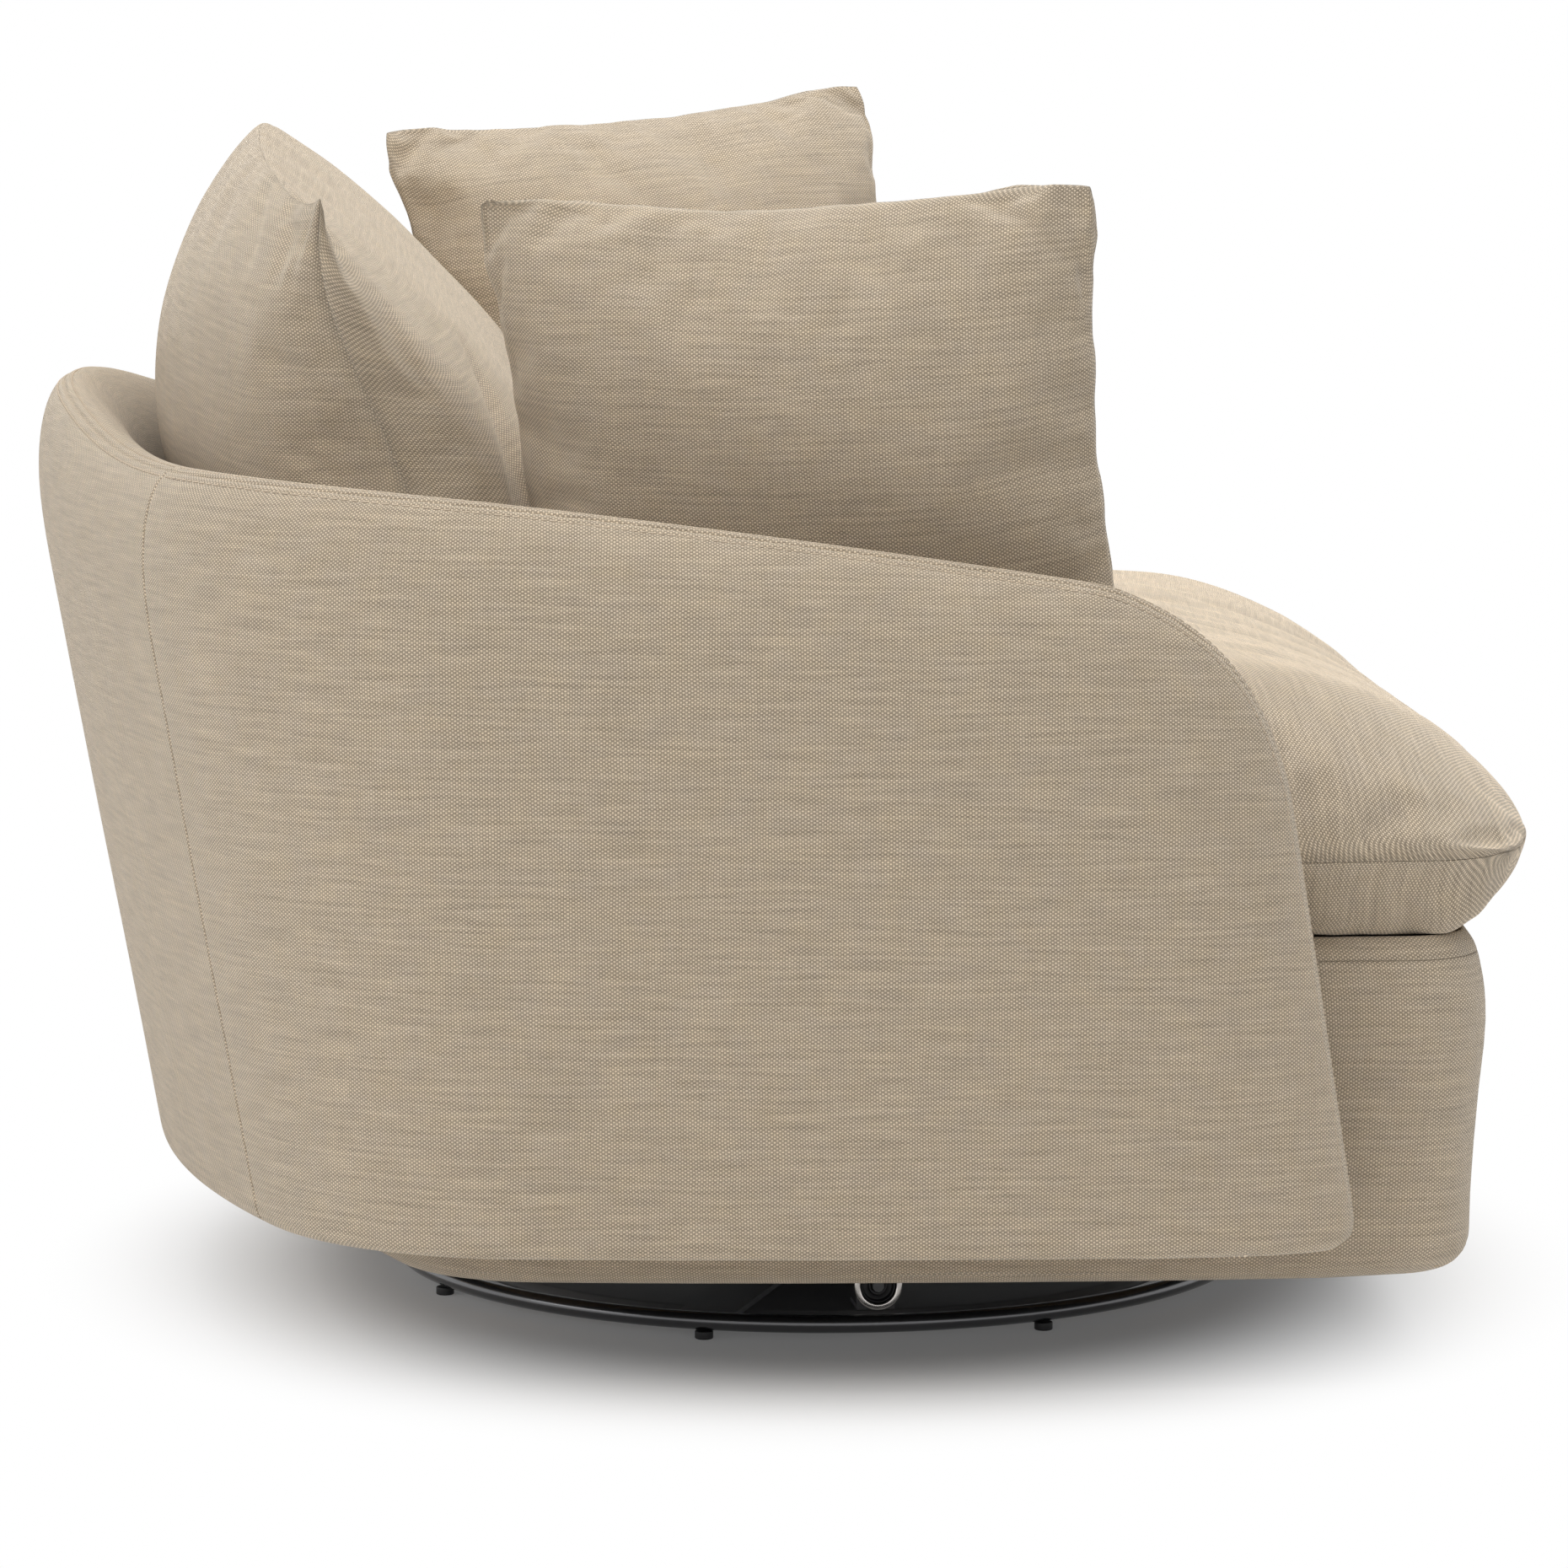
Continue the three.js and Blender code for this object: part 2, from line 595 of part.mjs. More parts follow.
// Piece of timber or cavity inside the wall
function wallBlock(from, to, lowAt, highAt, half) {
  const skin = new Skin();
  const columns = stationsBetween(from, to).map((along) => [
    wallPoint(along, highAt(along), half),
    wallPoint(along, lowAt(along), half),
    wallPoint(along, lowAt(along), -half),
    wallPoint(along, highAt(along), -half),
  ]);
  for (let i = 1; i < columns.length; i += 1) {
    columns[i].forEach((corner, edge) => {
      const other = (edge + 1) % columns[i].length;
      skin.quad(columns[i - 1][edge], corner, columns[i][other], columns[i - 1][other]);
    });
  }
  const [first, last] = [columns[0], columns[columns.length - 1]];
  skin.quad(first[3], first[0], first[1], first[2]);
  skin.quad(last[0], last[3], last[2], last[1]);
  return skin.geometry();
}

// Mirror a geometry across the middle plane of the chair
function mirrored(geometry) {
  const copy = geometry.clone().scale(-1, 1, 1);
  const order = copy.index.array;
  for (let i = 0; i < order.length; i += 3) {
    [order[i], order[i + 1]] = [order[i + 1], order[i]];
  }
  return copy;
}

// Stations of the two kinds of wall
const SHOULDER_STEPS = 8;
const FRONT_STEPS = 5;
const standing = (along) => ({ rim: rimPoint(along, rimHeight(along)), foot: along });

function backStations() {
  return stationsBetween(-COVER_SEAM, COVER_SEAM).map(standing);
}

function armStations(rear) {
  const turn = SHOULDER_BEGIN - ARM_TOP_SETBACK / 2;
  const stations = stationsBetween(rear, turn).map(standing);
  const [shoulder, front] = rimPath.curves.slice(-2);
  const fan = [
    ...shoulder.getPoints(SHOULDER_STEPS),
    ...front.getPoints(FRONT_STEPS).slice(1),
  ];
  fan.forEach((rim, i) => {
    stations.push({ rim, foot: THREE.MathUtils.lerp(turn, WALL_END, (i + 1) / fan.length) });
  });
  return stations;
}

const armRear = COVER_SEAM + 2 * GAP;
const backWall = wallForm(backStations(), 0);
const armWall = wallForm(armStations(armRear), 0);
const belowFoot = () => WALL_FOOT - OVERRUN;
const backCavity = wallBlock(
  -COVER_SEAM - OVERRUN, COVER_SEAM + OVERRUN, belowFoot,
  (along) => rimHeight(along) - RIM_PADDING, BACK_RAIL_THICKNESS / 2 + TIMBER_CLEARANCE,
);
const panelFrom = SIDE_BEGIN + GAP;
const panelTo = WALL_END - ARM_PANEL_FRONT_SETBACK;
const panelTop = (along) => insetHeight(THREE.MathUtils.clamp(along, panelFrom, panelTo), RIM_PADDING);
const armCavity = wallBlock(
  panelFrom - GAP, panelTo + GAP, belowFoot,
  (along) => panelTop(along) + TIMBER_CLEARANCE, ARM_PANEL_THICKNESS / 2 + TIMBER_CLEARANCE,
);
const armPanel = wallBlock(
  panelFrom, panelTo, () => WALL_FOOT, panelTop, ARM_PANEL_THICKNESS / 2,
);
const hollowArm = cut(armWall, armCavity);
place('tub_back', cut(backWall, backCavity), finishes.fabric);
place('arm_left', hollowArm, finishes.fabric);
place('arm_right', mirrored(hollowArm), finishes.fabric);
place('arm_panel_left', armPanel, finishes.board);
place('arm_panel_right', mirrored(armPanel), finishes.board);

// Back frame inside the wall
const railEnd = COVER_SEAM - GAP;
const railHalf = BACK_RAIL_THICKNESS / 2;
const topRailHigh = (along) => rimHeight(along) - RIM_PADDING - TIMBER_CLEARANCE;
const topRailLow = (along) => topRailHigh(along) - BACK_RAIL_DEPTH;
const bottomRailHigh = () => WALL_FOOT + BACK_RAIL_DEPTH;
const footLevel = () => WALL_FOOT;
place('back_top_rail', wallBlock(-railEnd, railEnd, topRailLow, topRailHigh, railHalf), finishes.timber);
place('back_bottom_rail', wallBlock(
  -railEnd, railEnd, footLevel, bottomRailHigh, railHalf,
), finishes.timber);
['right', 'centre', 'left'].forEach((side, i) => {
  const middle = (i - 1) * BACK_POST_OFFSET;
  place(`back_post_${side}`, wallBlock(
    middle - BACK_POST_WIDTH / 2, middle + BACK_POST_WIDTH / 2,
    () => bottomRailHigh() + GAP, (along) => topRailLow(along) - TIMBER_CLEARANCE, railHalf,
  ), finishes.timber);
});

// Plan of the plinth and of what lies inside it, drawn in by an inset from the tub's inner face
const ARC_STEPS = 5;

function plinthOutline(inset) {
  const drawn = WALL_THICKNESS + GAP + inset;
  const radius = Math.max(PLINTH_CORNER_RADIUS - inset, GAP);
  const half = facetStations.map((along) => {
    const plan = planAt(along);
    return new THREE.Vector2(plan.x - plan.outX * drawn, plan.y - plan.outY * drawn);
  });
  const side = half[half.length - 1];
  const front = -(PLINTH_FRONT - PLINTH_FRONT_BOW - inset);
  for (let i = 0; i <= ARC_STEPS; i += 1) {
    const angle = (Math.PI / 2) * (i / ARC_STEPS);
    half.push(new THREE.Vector2(
      side.x - radius * (1 - Math.cos(angle)),
      front + radius * (1 - Math.sin(angle)),
    ));
  }
  half.push(new THREE.Vector2(side.x / 2, front - PLINTH_FRONT_BOW * 0.75));
  const middle = new THREE.Vector2(0, front - PLINTH_FRONT_BOW);
  const otherHalf = half.slice(1).reverse().map((point) => new THREE.Vector2(-point.x, point.y));
  return [...half, middle, ...otherHalf].reverse();
}

const plinthBody = new THREE.ExtrudeGeometry(new THREE.Shape(plinthOutline(0)), {
  depth: PLINTH_TOP - PLINTH_BOTTOM - 2 * PLINTH_ROUNDING,
  bevelThickness: PLINTH_ROUNDING,
  bevelSize: PLINTH_ROUNDING,
  bevelOffset: -PLINTH_ROUNDING,
  bevelSegments: 2,
}).translate(0, 0, PLINTH_BOTTOM + PLINTH_ROUNDING);
const inside = (low, high, clearance) => prism(plinthOutline(PLINTH_PADDING + clearance), low, high);
place('plinth_cover', cut(
  plinthBody,
  inside(PLINTH_BOTTOM - OVERRUN, PLINTH_TOP + OVERRUN, 0),
), finishes.fabric);

// Timber rails, cut to the plinth's plan
const railSpace = inside(RAIL_BOTTOM, RAIL_TOP, GAP);
const wide = 2 * WALL_END;
const frontRailBack = -(PLINTH_FRONT - PLINTH_FRONT_BOW - PLINTH_PADDING - RAIL_THICKNESS);
const rearRailFront = REAR_RAIL_OFFSET;
const sideRailInner = planAt(SIDE_BEGIN).x - WALL_THICKNESS - PLINTH_PADDING - 2 * RAIL_THICKNESS;
const railBand = (from, to) => block(wide, to - from, RAIL_BOTTOM - OVERRUN, RAIL_TOP + OVERRUN)
  .translate(0, (from + to) / 2, 0);
place('rail_front', common(railSpace, railBand(-wide, frontRailBack)), finishes.timber);
place('rail_rear', common(railSpace, railBand(rearRailFront, wide)), finishes.timber);
const sideLength = rearRailFront - frontRailBack - 2 * GAP;
const sideStrip = block(wide, sideLength, RAIL_BOTTOM - OVERRUN, RAIL_TOP + OVERRUN)
  .translate(sideRailInner + wide / 2, (rearRailFront + frontRailBack) / 2, 0);
const leftRail = common(railSpace, sideStrip);
place('rail_left', leftRail, finishes.timber);
place('rail_right', mirrored(leftRail), finishes.timber);
['front', 'rear'].forEach((end, i) => {
  const reach = 2 * (sideRailInner - GAP);
  const bearer = block(reach, BEARER_SIZE, RAIL_BOTTOM, RAIL_BOTTOM + BEARER_SIZE)
    .translate(0, (i * 2 - 1) * BEARER_OFFSET, 0);
  place(`bearer_${end}`, bearer, finishes.timber);
});
const boardRoom = BOARD_SIDE + 2 * GAP;
place('dust_cover', cut(
  inside(PLINTH_BOTTOM, PLINTH_BOTTOM + DUST_COVER_THICKNESS, GAP),
  block(boardRoom, boardRoom, PLINTH_BOTTOM - OVERRUN, PLINTH_BOTTOM + OVERRUN),
), finishes.blackCloth);

// Zigzag springs from rail to rail and the padded deck over them
function springWire(middle) {
  const from = frontRailBack - SPRING_REST;
  const to = rearRailFront + SPRING_REST;
  const pitch = (to - from) / SPRING_LOOPS;
  const turns = [new THREE.Vector3(middle, from, SPRING_LEVEL)];
  for (let i = 0; i < SPRING_LOOPS; i += 1) {
    const swing = (i % 2 ? -1 : 1) * SPRING_HALF_SPAN;
    turns.push(new THREE.Vector3(middle + swing, from + pitch * (i + 0.35), SPRING_LEVEL));
    turns.push(new THREE.Vector3(middle + swing, from + pitch * (i + 0.65), SPRING_LEVEL));
  }
  turns.push(new THREE.Vector3(middle, to, SPRING_LEVEL));
  const half = SPRING_WIRE / 2;
  const corners = [[half, 0], [0, half], [-half, 0], [0, -half]];
  const section = new THREE.Shape(corners.map(([x, y]) => new THREE.Vector2(x, y)));
  return new THREE.ExtrudeGeometry(section, {
    steps: SPRING_LOOPS * 5,
    bevelEnabled: false,
    extrudePath: new THREE.CatmullRomCurve3(turns),
  });
}

for (let i = 0; i < SPRING_COUNT; i += 1) {
  const middle = (i - (SPRING_COUNT - 1) / 2) * SPRING_PITCH;
  place(`seat_spring_${i + 1}`, springWire(middle), finishes.zincSteel);
}
place('seat_deck', inside(DECK_BOTTOM, DECK_TOP, GAP), finishes.deckCloth);

// Cushion over four edges, with a rise above and a fall below its seam
function seamedCushion(edges, across, deep, rise, fall) {
  const [front, rear, left, right] = edges;
  const shareAt = (i, count) => (1 - Math.cos((Math.PI * i) / count)) / 2;
  const spread = (count) => Array.from({ length: count + 1 }, (_, i) => shareAt(i, count));
  const grid = spread(across).map((u) => spread(deep).map((v) => {
    const blend = new THREE.Vector2()
      .addScaledVector(front(u), 1 - v)
      .addScaledVector(rear(u), v)
      .addScaledVector(left(v), 1 - u)
      .addScaledVector(right(v), u)
      .addScaledVector(front(0), -(1 - u) * (1 - v))
      .addScaledVector(front(1), -u * (1 - v))
      .addScaledVector(rear(0), -(1 - u) * v)
      .addScaledVector(rear(1), -u * v);
    return [rise(u, v, blend), fall(u, v, blend)];
  }));
  const skin = new Skin();
  for (let i = 1; i <= across; i += 1) {
    for (let j = 1; j <= deep; j += 1) {
      const cell = [grid[i - 1][j - 1], grid[i][j - 1], grid[i][j], grid[i - 1][j]];
      skin.quad(...cell.map((pair) => pair[0]));
      skin.quad(...cell.map((pair) => pair[1]).reverse());
    }
  }
  return skin.geometry();
}

// Rounding that climbs to its full height over a roll
function roll(distance, over) {
  return Math.sin((Math.PI / 2) * Math.min(1, Math.max(0, distance / over)));
}

// Seat cushion: its rear follows the tub, its front stands past the arms
function seatEdges() {
  const drawn = WALL_THICKNESS + SOFT_CLEARANCE;
  const insideAt = (along) => {
    const plan = planAt(along);
    const offset = leanAt(along) * (SEAT_SEAM - WALL_FOOT) - drawn;
    return new THREE.Vector2(plan.x + plan.outX * offset, plan.y + plan.outY * offset);
  };
  const rearCorner = BACK_ARC + CORNER_ARC / 2;
  const sideEnd = WALL_END - ARM_TOP_SETBACK;
  const cornerX = SEAT_FRONT_HALF_WIDTH - SEAT_CORNER_RADIUS * (1 - Math.SQRT1_2);
  const cornerY = -(SEAT_FRONT - SEAT_FRONT_BOW) + SEAT_CORNER_RADIUS * (1 - Math.SQRT1_2);
  const right = new THREE.CatmullRomCurve3([
    new THREE.Vector3(cornerX, cornerY, 0),
    new THREE.Vector3(SEAT_FRONT_HALF_WIDTH, -(SEAT_FRONT - SEAT_FRONT_BOW - SEAT_CORNER_RADIUS), 0),
    ...[sideEnd, (sideEnd + SIDE_BEGIN) / 2, SIDE_BEGIN, BACK_ARC + CORNER_ARC * 0.75, rearCorner]
      .map((along) => new THREE.Vector3(...insideAt(along).toArray(), 0)),
  ]);
  const flat = (point, side) => new THREE.Vector2(side * point.x, point.y);
  const front = (u) => {
    const share = 2 * u - 1;
    const bow = SEAT_FRONT_BOW * (1 - share ** 2);
    const tuck = SEAT_CORNER_RADIUS * (1 - Math.SQRT1_2) * Math.abs(share) ** 9;
    return new THREE.Vector2(cornerX * share, -(SEAT_FRONT - SEAT_FRONT_BOW) - bow + tuck);
  };
  const rear = (u) => insideAt((2 * u - 1) * rearCorner);
  return [front, rear, (v) => flat(right.getPointAt(v), -1), (v) => flat(right.getPointAt(v), 1)];
}

const SEAT_ACROSS = 18;
const SEAT_DEEP = 18;

function seatForm(grow) {
  const widthOf = 2 * SEAT_FRONT_HALF_WIDTH;
  const depthOf = SEAT_FRONT + BACK_FOOT - WALL_THICKNESS;
  const fill = (u, v, side, front, rear) => roll(Math.min(u, 1 - u) * widthOf, side)
    * roll(v * depthOf, front) * roll((1 - v) * depthOf, rear);
  return seamedCushion(
    seatEdges(), SEAT_ACROSS, SEAT_DEEP,
    (u, v, at) => new THREE.Vector3(at.x, at.y, SEAT_SEAM + grow
      + SEAT_CROWN * fill(u, v, SEAT_SIDE_ROLL, SEAT_FRONT_ROLL, SEAT_REAR_ROLL)),
    (u, v, at) => new THREE.Vector3(at.x, at.y, SEAT_SEAM + grow
      - (SEAT_UNDER + grow) * fill(u, v, SEAT_UNDER_ROLL, SEAT_UNDER_ROLL, SEAT_UNDER_ROLL)),
  );
}

// Back cushion: a tall pillow, thick at its foot, that wraps a little round the sitter
const BACK_CUSHION_ACROSS = 18;
const BACK_CUSHION_DEEP = 16;

function backForm(grow) {
  const topAt = (share) => BACK_CUSHION_EAR + grow
    + (BACK_CUSHION_TOP - BACK_CUSHION_EAR) * Math.sqrt(Math.max(0, 1 - share ** 2));
  const bottomAt = () => BACK_CUSHION_BOTTOM - grow;
  const sideAt = (v) => BACK_CUSHION_HALF_WIDTH + grow - BACK_CUSHION_DRAW * Math.sin(Math.PI * v);
  const edges = [
    (u) => new THREE.Vector2((2 * u - 1) * sideAt(0), bottomAt()),
    (u) => new THREE.Vector2((2 * u - 1) * sideAt(1), topAt(2 * u - 1)),
    (v) => new THREE.Vector2(-sideAt(v), THREE.MathUtils.lerp(bottomAt(), topAt(1), v)),
    (v) => new THREE.Vector2(sideAt(v), THREE.MathUtils.lerp(bottomAt(), topAt(1), v)),
  ];
  const plane = (at) => BACK_CUSHION_PLANE + BACK_CUSHION_LEAN * (at.y - BACK_CUSHION_PLANE_HEIGHT)
    - BACK_CUSHION_WRAP_DEPTH * (at.x / BACK_CUSHION_HALF_WIDTH) ** 2;
  const half = (u, v, at) => {
    const share = 2 * u - 1;
    const fromTop = topAt(share) - at.y;
    const fromBottom = at.y - bottomAt();
    return (BACK_CUSHION_THICKNESS / 2 + grow) * (1 - share ** 4) ** 0.6
      * roll(fromTop, BACK_CUSHION_TOP_ROLL) ** 0.8 * roll(fromBottom, BACK_CUSHION_BOTTOM_ROLL) ** 0.8;
  };
  return seamedCushion(
    edges, BACK_CUSHION_ACROSS, BACK_CUSHION_DEEP,
    (u, v, at) => new THREE.Vector3(at.x, plane(at) - half(u, v, at), at.y),
    (u, v, at) => new THREE.Vector3(at.x, plane(at) + half(u, v, at), at.y),
  );
}

// Scatter cushion, flat in its own frame: width along X, height along Y
const SCATTER_ACROSS = 14;
const SCATTER_DEEP = 14;

function scatterForm() {
  const sideAt = (v) => SCATTER_WIDTH / 2 - SCATTER_DRAW * Math.sin(Math.PI * v);
  const endAt = (u) => SCATTER_HEIGHT / 2 - SCATTER_DRAW * Math.sin(Math.PI * u);
  const edges = [
    (u) => new THREE.Vector2((u - 0.5) * SCATTER_WIDTH, -endAt(u)),
    (u) => new THREE.Vector2((u - 0.5) * SCATTER_WIDTH, endAt(u)),
    (v) => new THREE.Vector2(-sideAt(v), (v - 0.5) * SCATTER_HEIGHT),
    (v) => new THREE.Vector2(sideAt(v), (v - 0.5) * SCATTER_HEIGHT),
  ];
  const half = (u, v) => (SCATTER_THICKNESS / 2) * (16 * u * (1 - u) * v * (1 - v)) ** 0.6;
  return seamedCushion(
    edges, SCATTER_ACROSS, SCATTER_DEEP,
    (u, v, at) => new THREE.Vector3(at.x, at.y, half(u, v)),
    (u, v, at) => new THREE.Vector3(at.x, at.y, -half(u, v)),
  );
}

// Each scatter cushion stands on edge, leans out on its arm and faces a little forwards
const scatterPlaces = {
  right: {
    middle: new THREE.Vector3(-RIGHT_SCATTER_OUT, RIGHT_SCATTER_BACK, RIGHT_SCATTER_LEVEL),
    yaw: -RIGHT_SCATTER_YAW,
    lean: -RIGHT_SCATTER_LEAN,
    tilt: RIGHT_SCATTER_TILT,
  },
  left: {
    middle: new THREE.Vector3(LEFT_SCATTER_OUT, LEFT_SCATTER_BACK, LEFT_SCATTER_LEVEL),
    yaw: LEFT_SCATTER_YAW,
    lean: LEFT_SCATTER_LEAN,
    tilt: LEFT_SCATTER_TILT,
  },
};

function placedScatter({ middle, yaw, lean, tilt }) {
  const upright = new THREE.Matrix4().makeBasis(
    new THREE.Vector3(0, -1, 0),
    new THREE.Vector3(0, 0, 1),
    new THREE.Vector3(-1, 0, 0),
  );
  const inPlane = new THREE.Matrix4().makeRotationZ(tilt);
  const leaning = new THREE.Matrix4().makeRotationY(lean);
  const facing = new THREE.Matrix4().makeRotationZ(yaw);
  const move = new THREE.Matrix4().makeTranslation(middle.x, middle.y, middle.z);
  const whole = move.multiply(facing).multiply(leaning).multiply(upright).multiply(inPlane);
  return scatterForm().applyMatrix4(whole);
}

const seatCushion = seatForm(0);
const seatRoom = seatForm(SOFT_GAP);
const wallRoom = [
  wallForm(backStations(), SOFT_GAP),
  wallForm(armStations(COVER_SEAM), SOFT_GAP),
  mirrored(wallForm(armStations(COVER_SEAM), SOFT_GAP)),
];
const backCushion = cut(backForm(0), seatRoom, ...wallRoom);
const backRoom = backForm(SOFT_GAP);
place('seat_cushion', seatCushion, finishes.fabric);
place('back_cushion', backCushion, finishes.fabric);
Object.entries(scatterPlaces).forEach(([side, where]) => {
  const scatter = cut(placedScatter(where), seatRoom, backRoom, ...wallRoom);
  place(`scatter_cushion_${side}`, scatter, finishes.fabric);
});

export default chair;
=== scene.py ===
"""Swivel cuddle chair: upholstery, cushions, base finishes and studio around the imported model."""

import json
import math
from functools import partial

import bmesh
import bpy
import numpy as np
from bpy.props import FloatProperty, FloatVectorProperty, IntProperty, PointerProperty
from mathutils import Matrix, Vector, noise
from mathutils.bvhtree import BVHTree

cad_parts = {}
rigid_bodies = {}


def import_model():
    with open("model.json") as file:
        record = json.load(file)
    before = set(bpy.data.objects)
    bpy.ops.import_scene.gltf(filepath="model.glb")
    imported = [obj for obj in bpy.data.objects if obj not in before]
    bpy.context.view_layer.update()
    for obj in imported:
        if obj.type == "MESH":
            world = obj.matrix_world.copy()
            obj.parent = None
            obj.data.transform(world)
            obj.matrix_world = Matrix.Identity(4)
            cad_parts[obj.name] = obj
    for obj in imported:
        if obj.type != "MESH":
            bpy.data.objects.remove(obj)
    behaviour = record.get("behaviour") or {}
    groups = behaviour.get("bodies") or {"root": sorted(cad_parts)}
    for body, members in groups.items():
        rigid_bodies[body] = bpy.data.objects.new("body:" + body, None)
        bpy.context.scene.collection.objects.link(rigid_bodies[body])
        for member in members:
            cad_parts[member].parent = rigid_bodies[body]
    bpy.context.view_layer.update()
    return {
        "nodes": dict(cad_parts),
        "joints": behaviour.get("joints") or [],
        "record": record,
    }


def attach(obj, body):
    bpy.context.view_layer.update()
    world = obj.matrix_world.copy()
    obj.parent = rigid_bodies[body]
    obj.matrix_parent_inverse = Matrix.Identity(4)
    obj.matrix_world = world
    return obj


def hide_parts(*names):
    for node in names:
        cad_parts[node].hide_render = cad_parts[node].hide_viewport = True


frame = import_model()

bl_info = {
    "name": "Swivel cuddle chair",
    "version": (1, 0, 0),
    "blender": (4, 5, 0),
    "location": "View3D > Sidebar > Cuddle chair",
    "description": "Covers, cushions, swivel base finishes and studio of a swivel cuddle chair",
    "category": "Add Mesh",
}

# Swivel axis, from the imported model
AXIS_Y = next(j for j in frame["joints"] if j["name"] == "swivel")["pos_m"][1]

# Tub wall: plan of its outer face at the foot, in metres from the swivel axis
BACK_FOOT = 0.475
BACK_RADIUS = 1.060
BACK_HALF_ANGLE = math.radians(24)
CORNER_RADIUS = 0.200
SIDE_START_ANGLE = math.radians(85)
SIDE_RADIUS = 3.700
SIDE_LENGTH = 0.540
WALL_FOOT = 0.107
WALL_THICKNESS = 0.082
RIM_ROLL = 0.105
BACK_LEAN = 0.178
SIDE_LEAN = 0.109
COVER_SEAM = 0.430
BACK_ARC = BACK_RADIUS * BACK_HALF_ANGLE
CORNER_ARC = CORNER_RADIUS * (SIDE_START_ANGLE - BACK_HALF_ANGLE)
SIDE_BEGIN = BACK_ARC + CORNER_ARC
WALL_END = SIDE_BEGIN + SIDE_LENGTH

# Rim heights and the arm's shoulder
RIM_BACK = 0.642
RIM_CORNER = 0.604
RIM_ARM = 0.537
RIM_SHOULDER = 0.404
RIM_STEEPENING = 1.25
ARM_TOP_SETBACK = 0.170
SHOULDER_SETBACK = 0.053
CORNER_FILLET = 0.024
FOOT_ROUND = 0.009

# Rows over the rim's roll, with three close rows at each line of stitching
ROLL_REACH = 0.078
STITCH_TURN = 0.138
STITCH_DEPTH_SHARE = 0.35
STITCH_WIDTH = 0.0009

# Shift of the cloth from one panel to the next, so that the weave breaks at a seam
STRIP_SHIFT = (0.37, 0.21)
TOP_PANEL_SHIFT = (0.31, 0.17)
UNDER_PANEL_SHIFT = 0.7

# Plinth
PLINTH_BOTTOM = 0.073
PLINTH_FRONT = 0.428
PLINTH_BOW = 0.012
PLINTH_CORNER = 0.060
PLINTH_ROUND_TOP = 0.099
PLINTH_ROUND_INSET = 0.0095
PLINTH_ROUND_SIDES = 0.3
PLINTH_ROUND_FADE = (-0.43, -0.33)
PLINTH_GAP = 0.0012

# Dust cover
COVER_TUCK = 0.0346
COVER_OPENING = 0.2625
COVER_CLOTH = 0.0005
COVER_LIFT = 0.0008
COVER_SLACK = 0.0006
COVER_RIPPLE = 0.0003

# Cushions
DECK_TOP = 0.298
DECK_EDGE = 0.055
DECK_GAP = 0.0006
NEIGHBOUR_GAP = 0.0016
SEAT_SEAM = 0.352
SEAT_CROWN = 0.110
SEAT_FRONT = 0.468
SEAT_BOW = 0.022
SEAT_CORNER = 0.075
SEAT_HALF_WIDTH = 0.470
BACK_TOP = 0.817
BACK_EAR = 0.770
BACK_BOTTOM = 0.440
BACK_HALF_WIDTH = 0.415
BACK_THICKNESS = 0.276
BACK_PLANE = 0.331
BACK_PLANE_HEIGHT = 0.575
BACK_LEAN_CUSHION = 0.27
BACK_WRAP = 0.054
BACK_SIDE_BOW = 0.0235
BACK_SIDE_BOW_HEIGHT = 0.70
SCATTER_SIZE = (0.420, 0.362)
SCATTER_THICKNESS = 0.150
SCATTERS = {
    "right": dict(middle=(-0.418, 0.031, 0.607), yaw=-19, lean=-12, tilt=2.0, seed=3.0),
    "left": dict(middle=(0.392, 0.101, 0.655), yaw=22, lean=15, tilt=5.0, seed=8.0),
}

# Base
RING_RADIUS = 0.305
RING_TUBE = 0.0124
GLIDE_HEIGHT = 0.0057
GLIDE_COUNT = 8
BASE_TURN = math.radians(-18)
PLATE_RADIUS = 0.269
PLATE_TOP = 0.013
PLATE_BORE = 0.0083
ROLLER_COUNT = 4
ROLLER_TURN = math.radians(5.2)
ROLLER_RADIUS = 0.0165
ROLLER_TRACK = 0.272
ROLLER_WIDTH = 0.012
ROLLER_LEVEL = 0.0319
HUB_BORE = 0.0043

# Camera, fitted to the ring and glides of the photograph, from the swivel axis
CAMERA_TURN = math.radians(2.5)
CAMERA_PITCH = math.radians(7.106)
CAMERA_ACROSS = -0.0272
CAMERA_AWAY = -4.224
CAMERA_HEIGHT = 0.8692


# ---------------------------------------------------------------- settings
class TubSettings(bpy.types.PropertyGroup):
    """Upholstery of the tub wall and plinth"""
    panel_step: FloatProperty(
        name="Panel step", description="Mesh step along the wall", default=0.013, unit="LENGTH")
    seam_drop: FloatProperty(
        name="Seam drop", description="Distance of the rim seam below the crest",
        default=0.0019, unit="LENGTH")
    seam_depth: FloatProperty(
        name="Seam depth", description="Depth of the seam grooves", default=0.0021, unit="LENGTH")
    stitch_pitch: FloatProperty(
        name="Stitch pitch", description="Distance from stitch to stitch", default=0.0056, unit="LENGTH")
    stitch_radius: FloatProperty(
        name="Thread radius", description="Radius of the topstitching thread", default=0.00052, unit="LENGTH")
    unevenness: FloatProperty(
        name="Unevenness", description="Height of the slow swells in the padding",
        default=0.0011, unit="LENGTH")


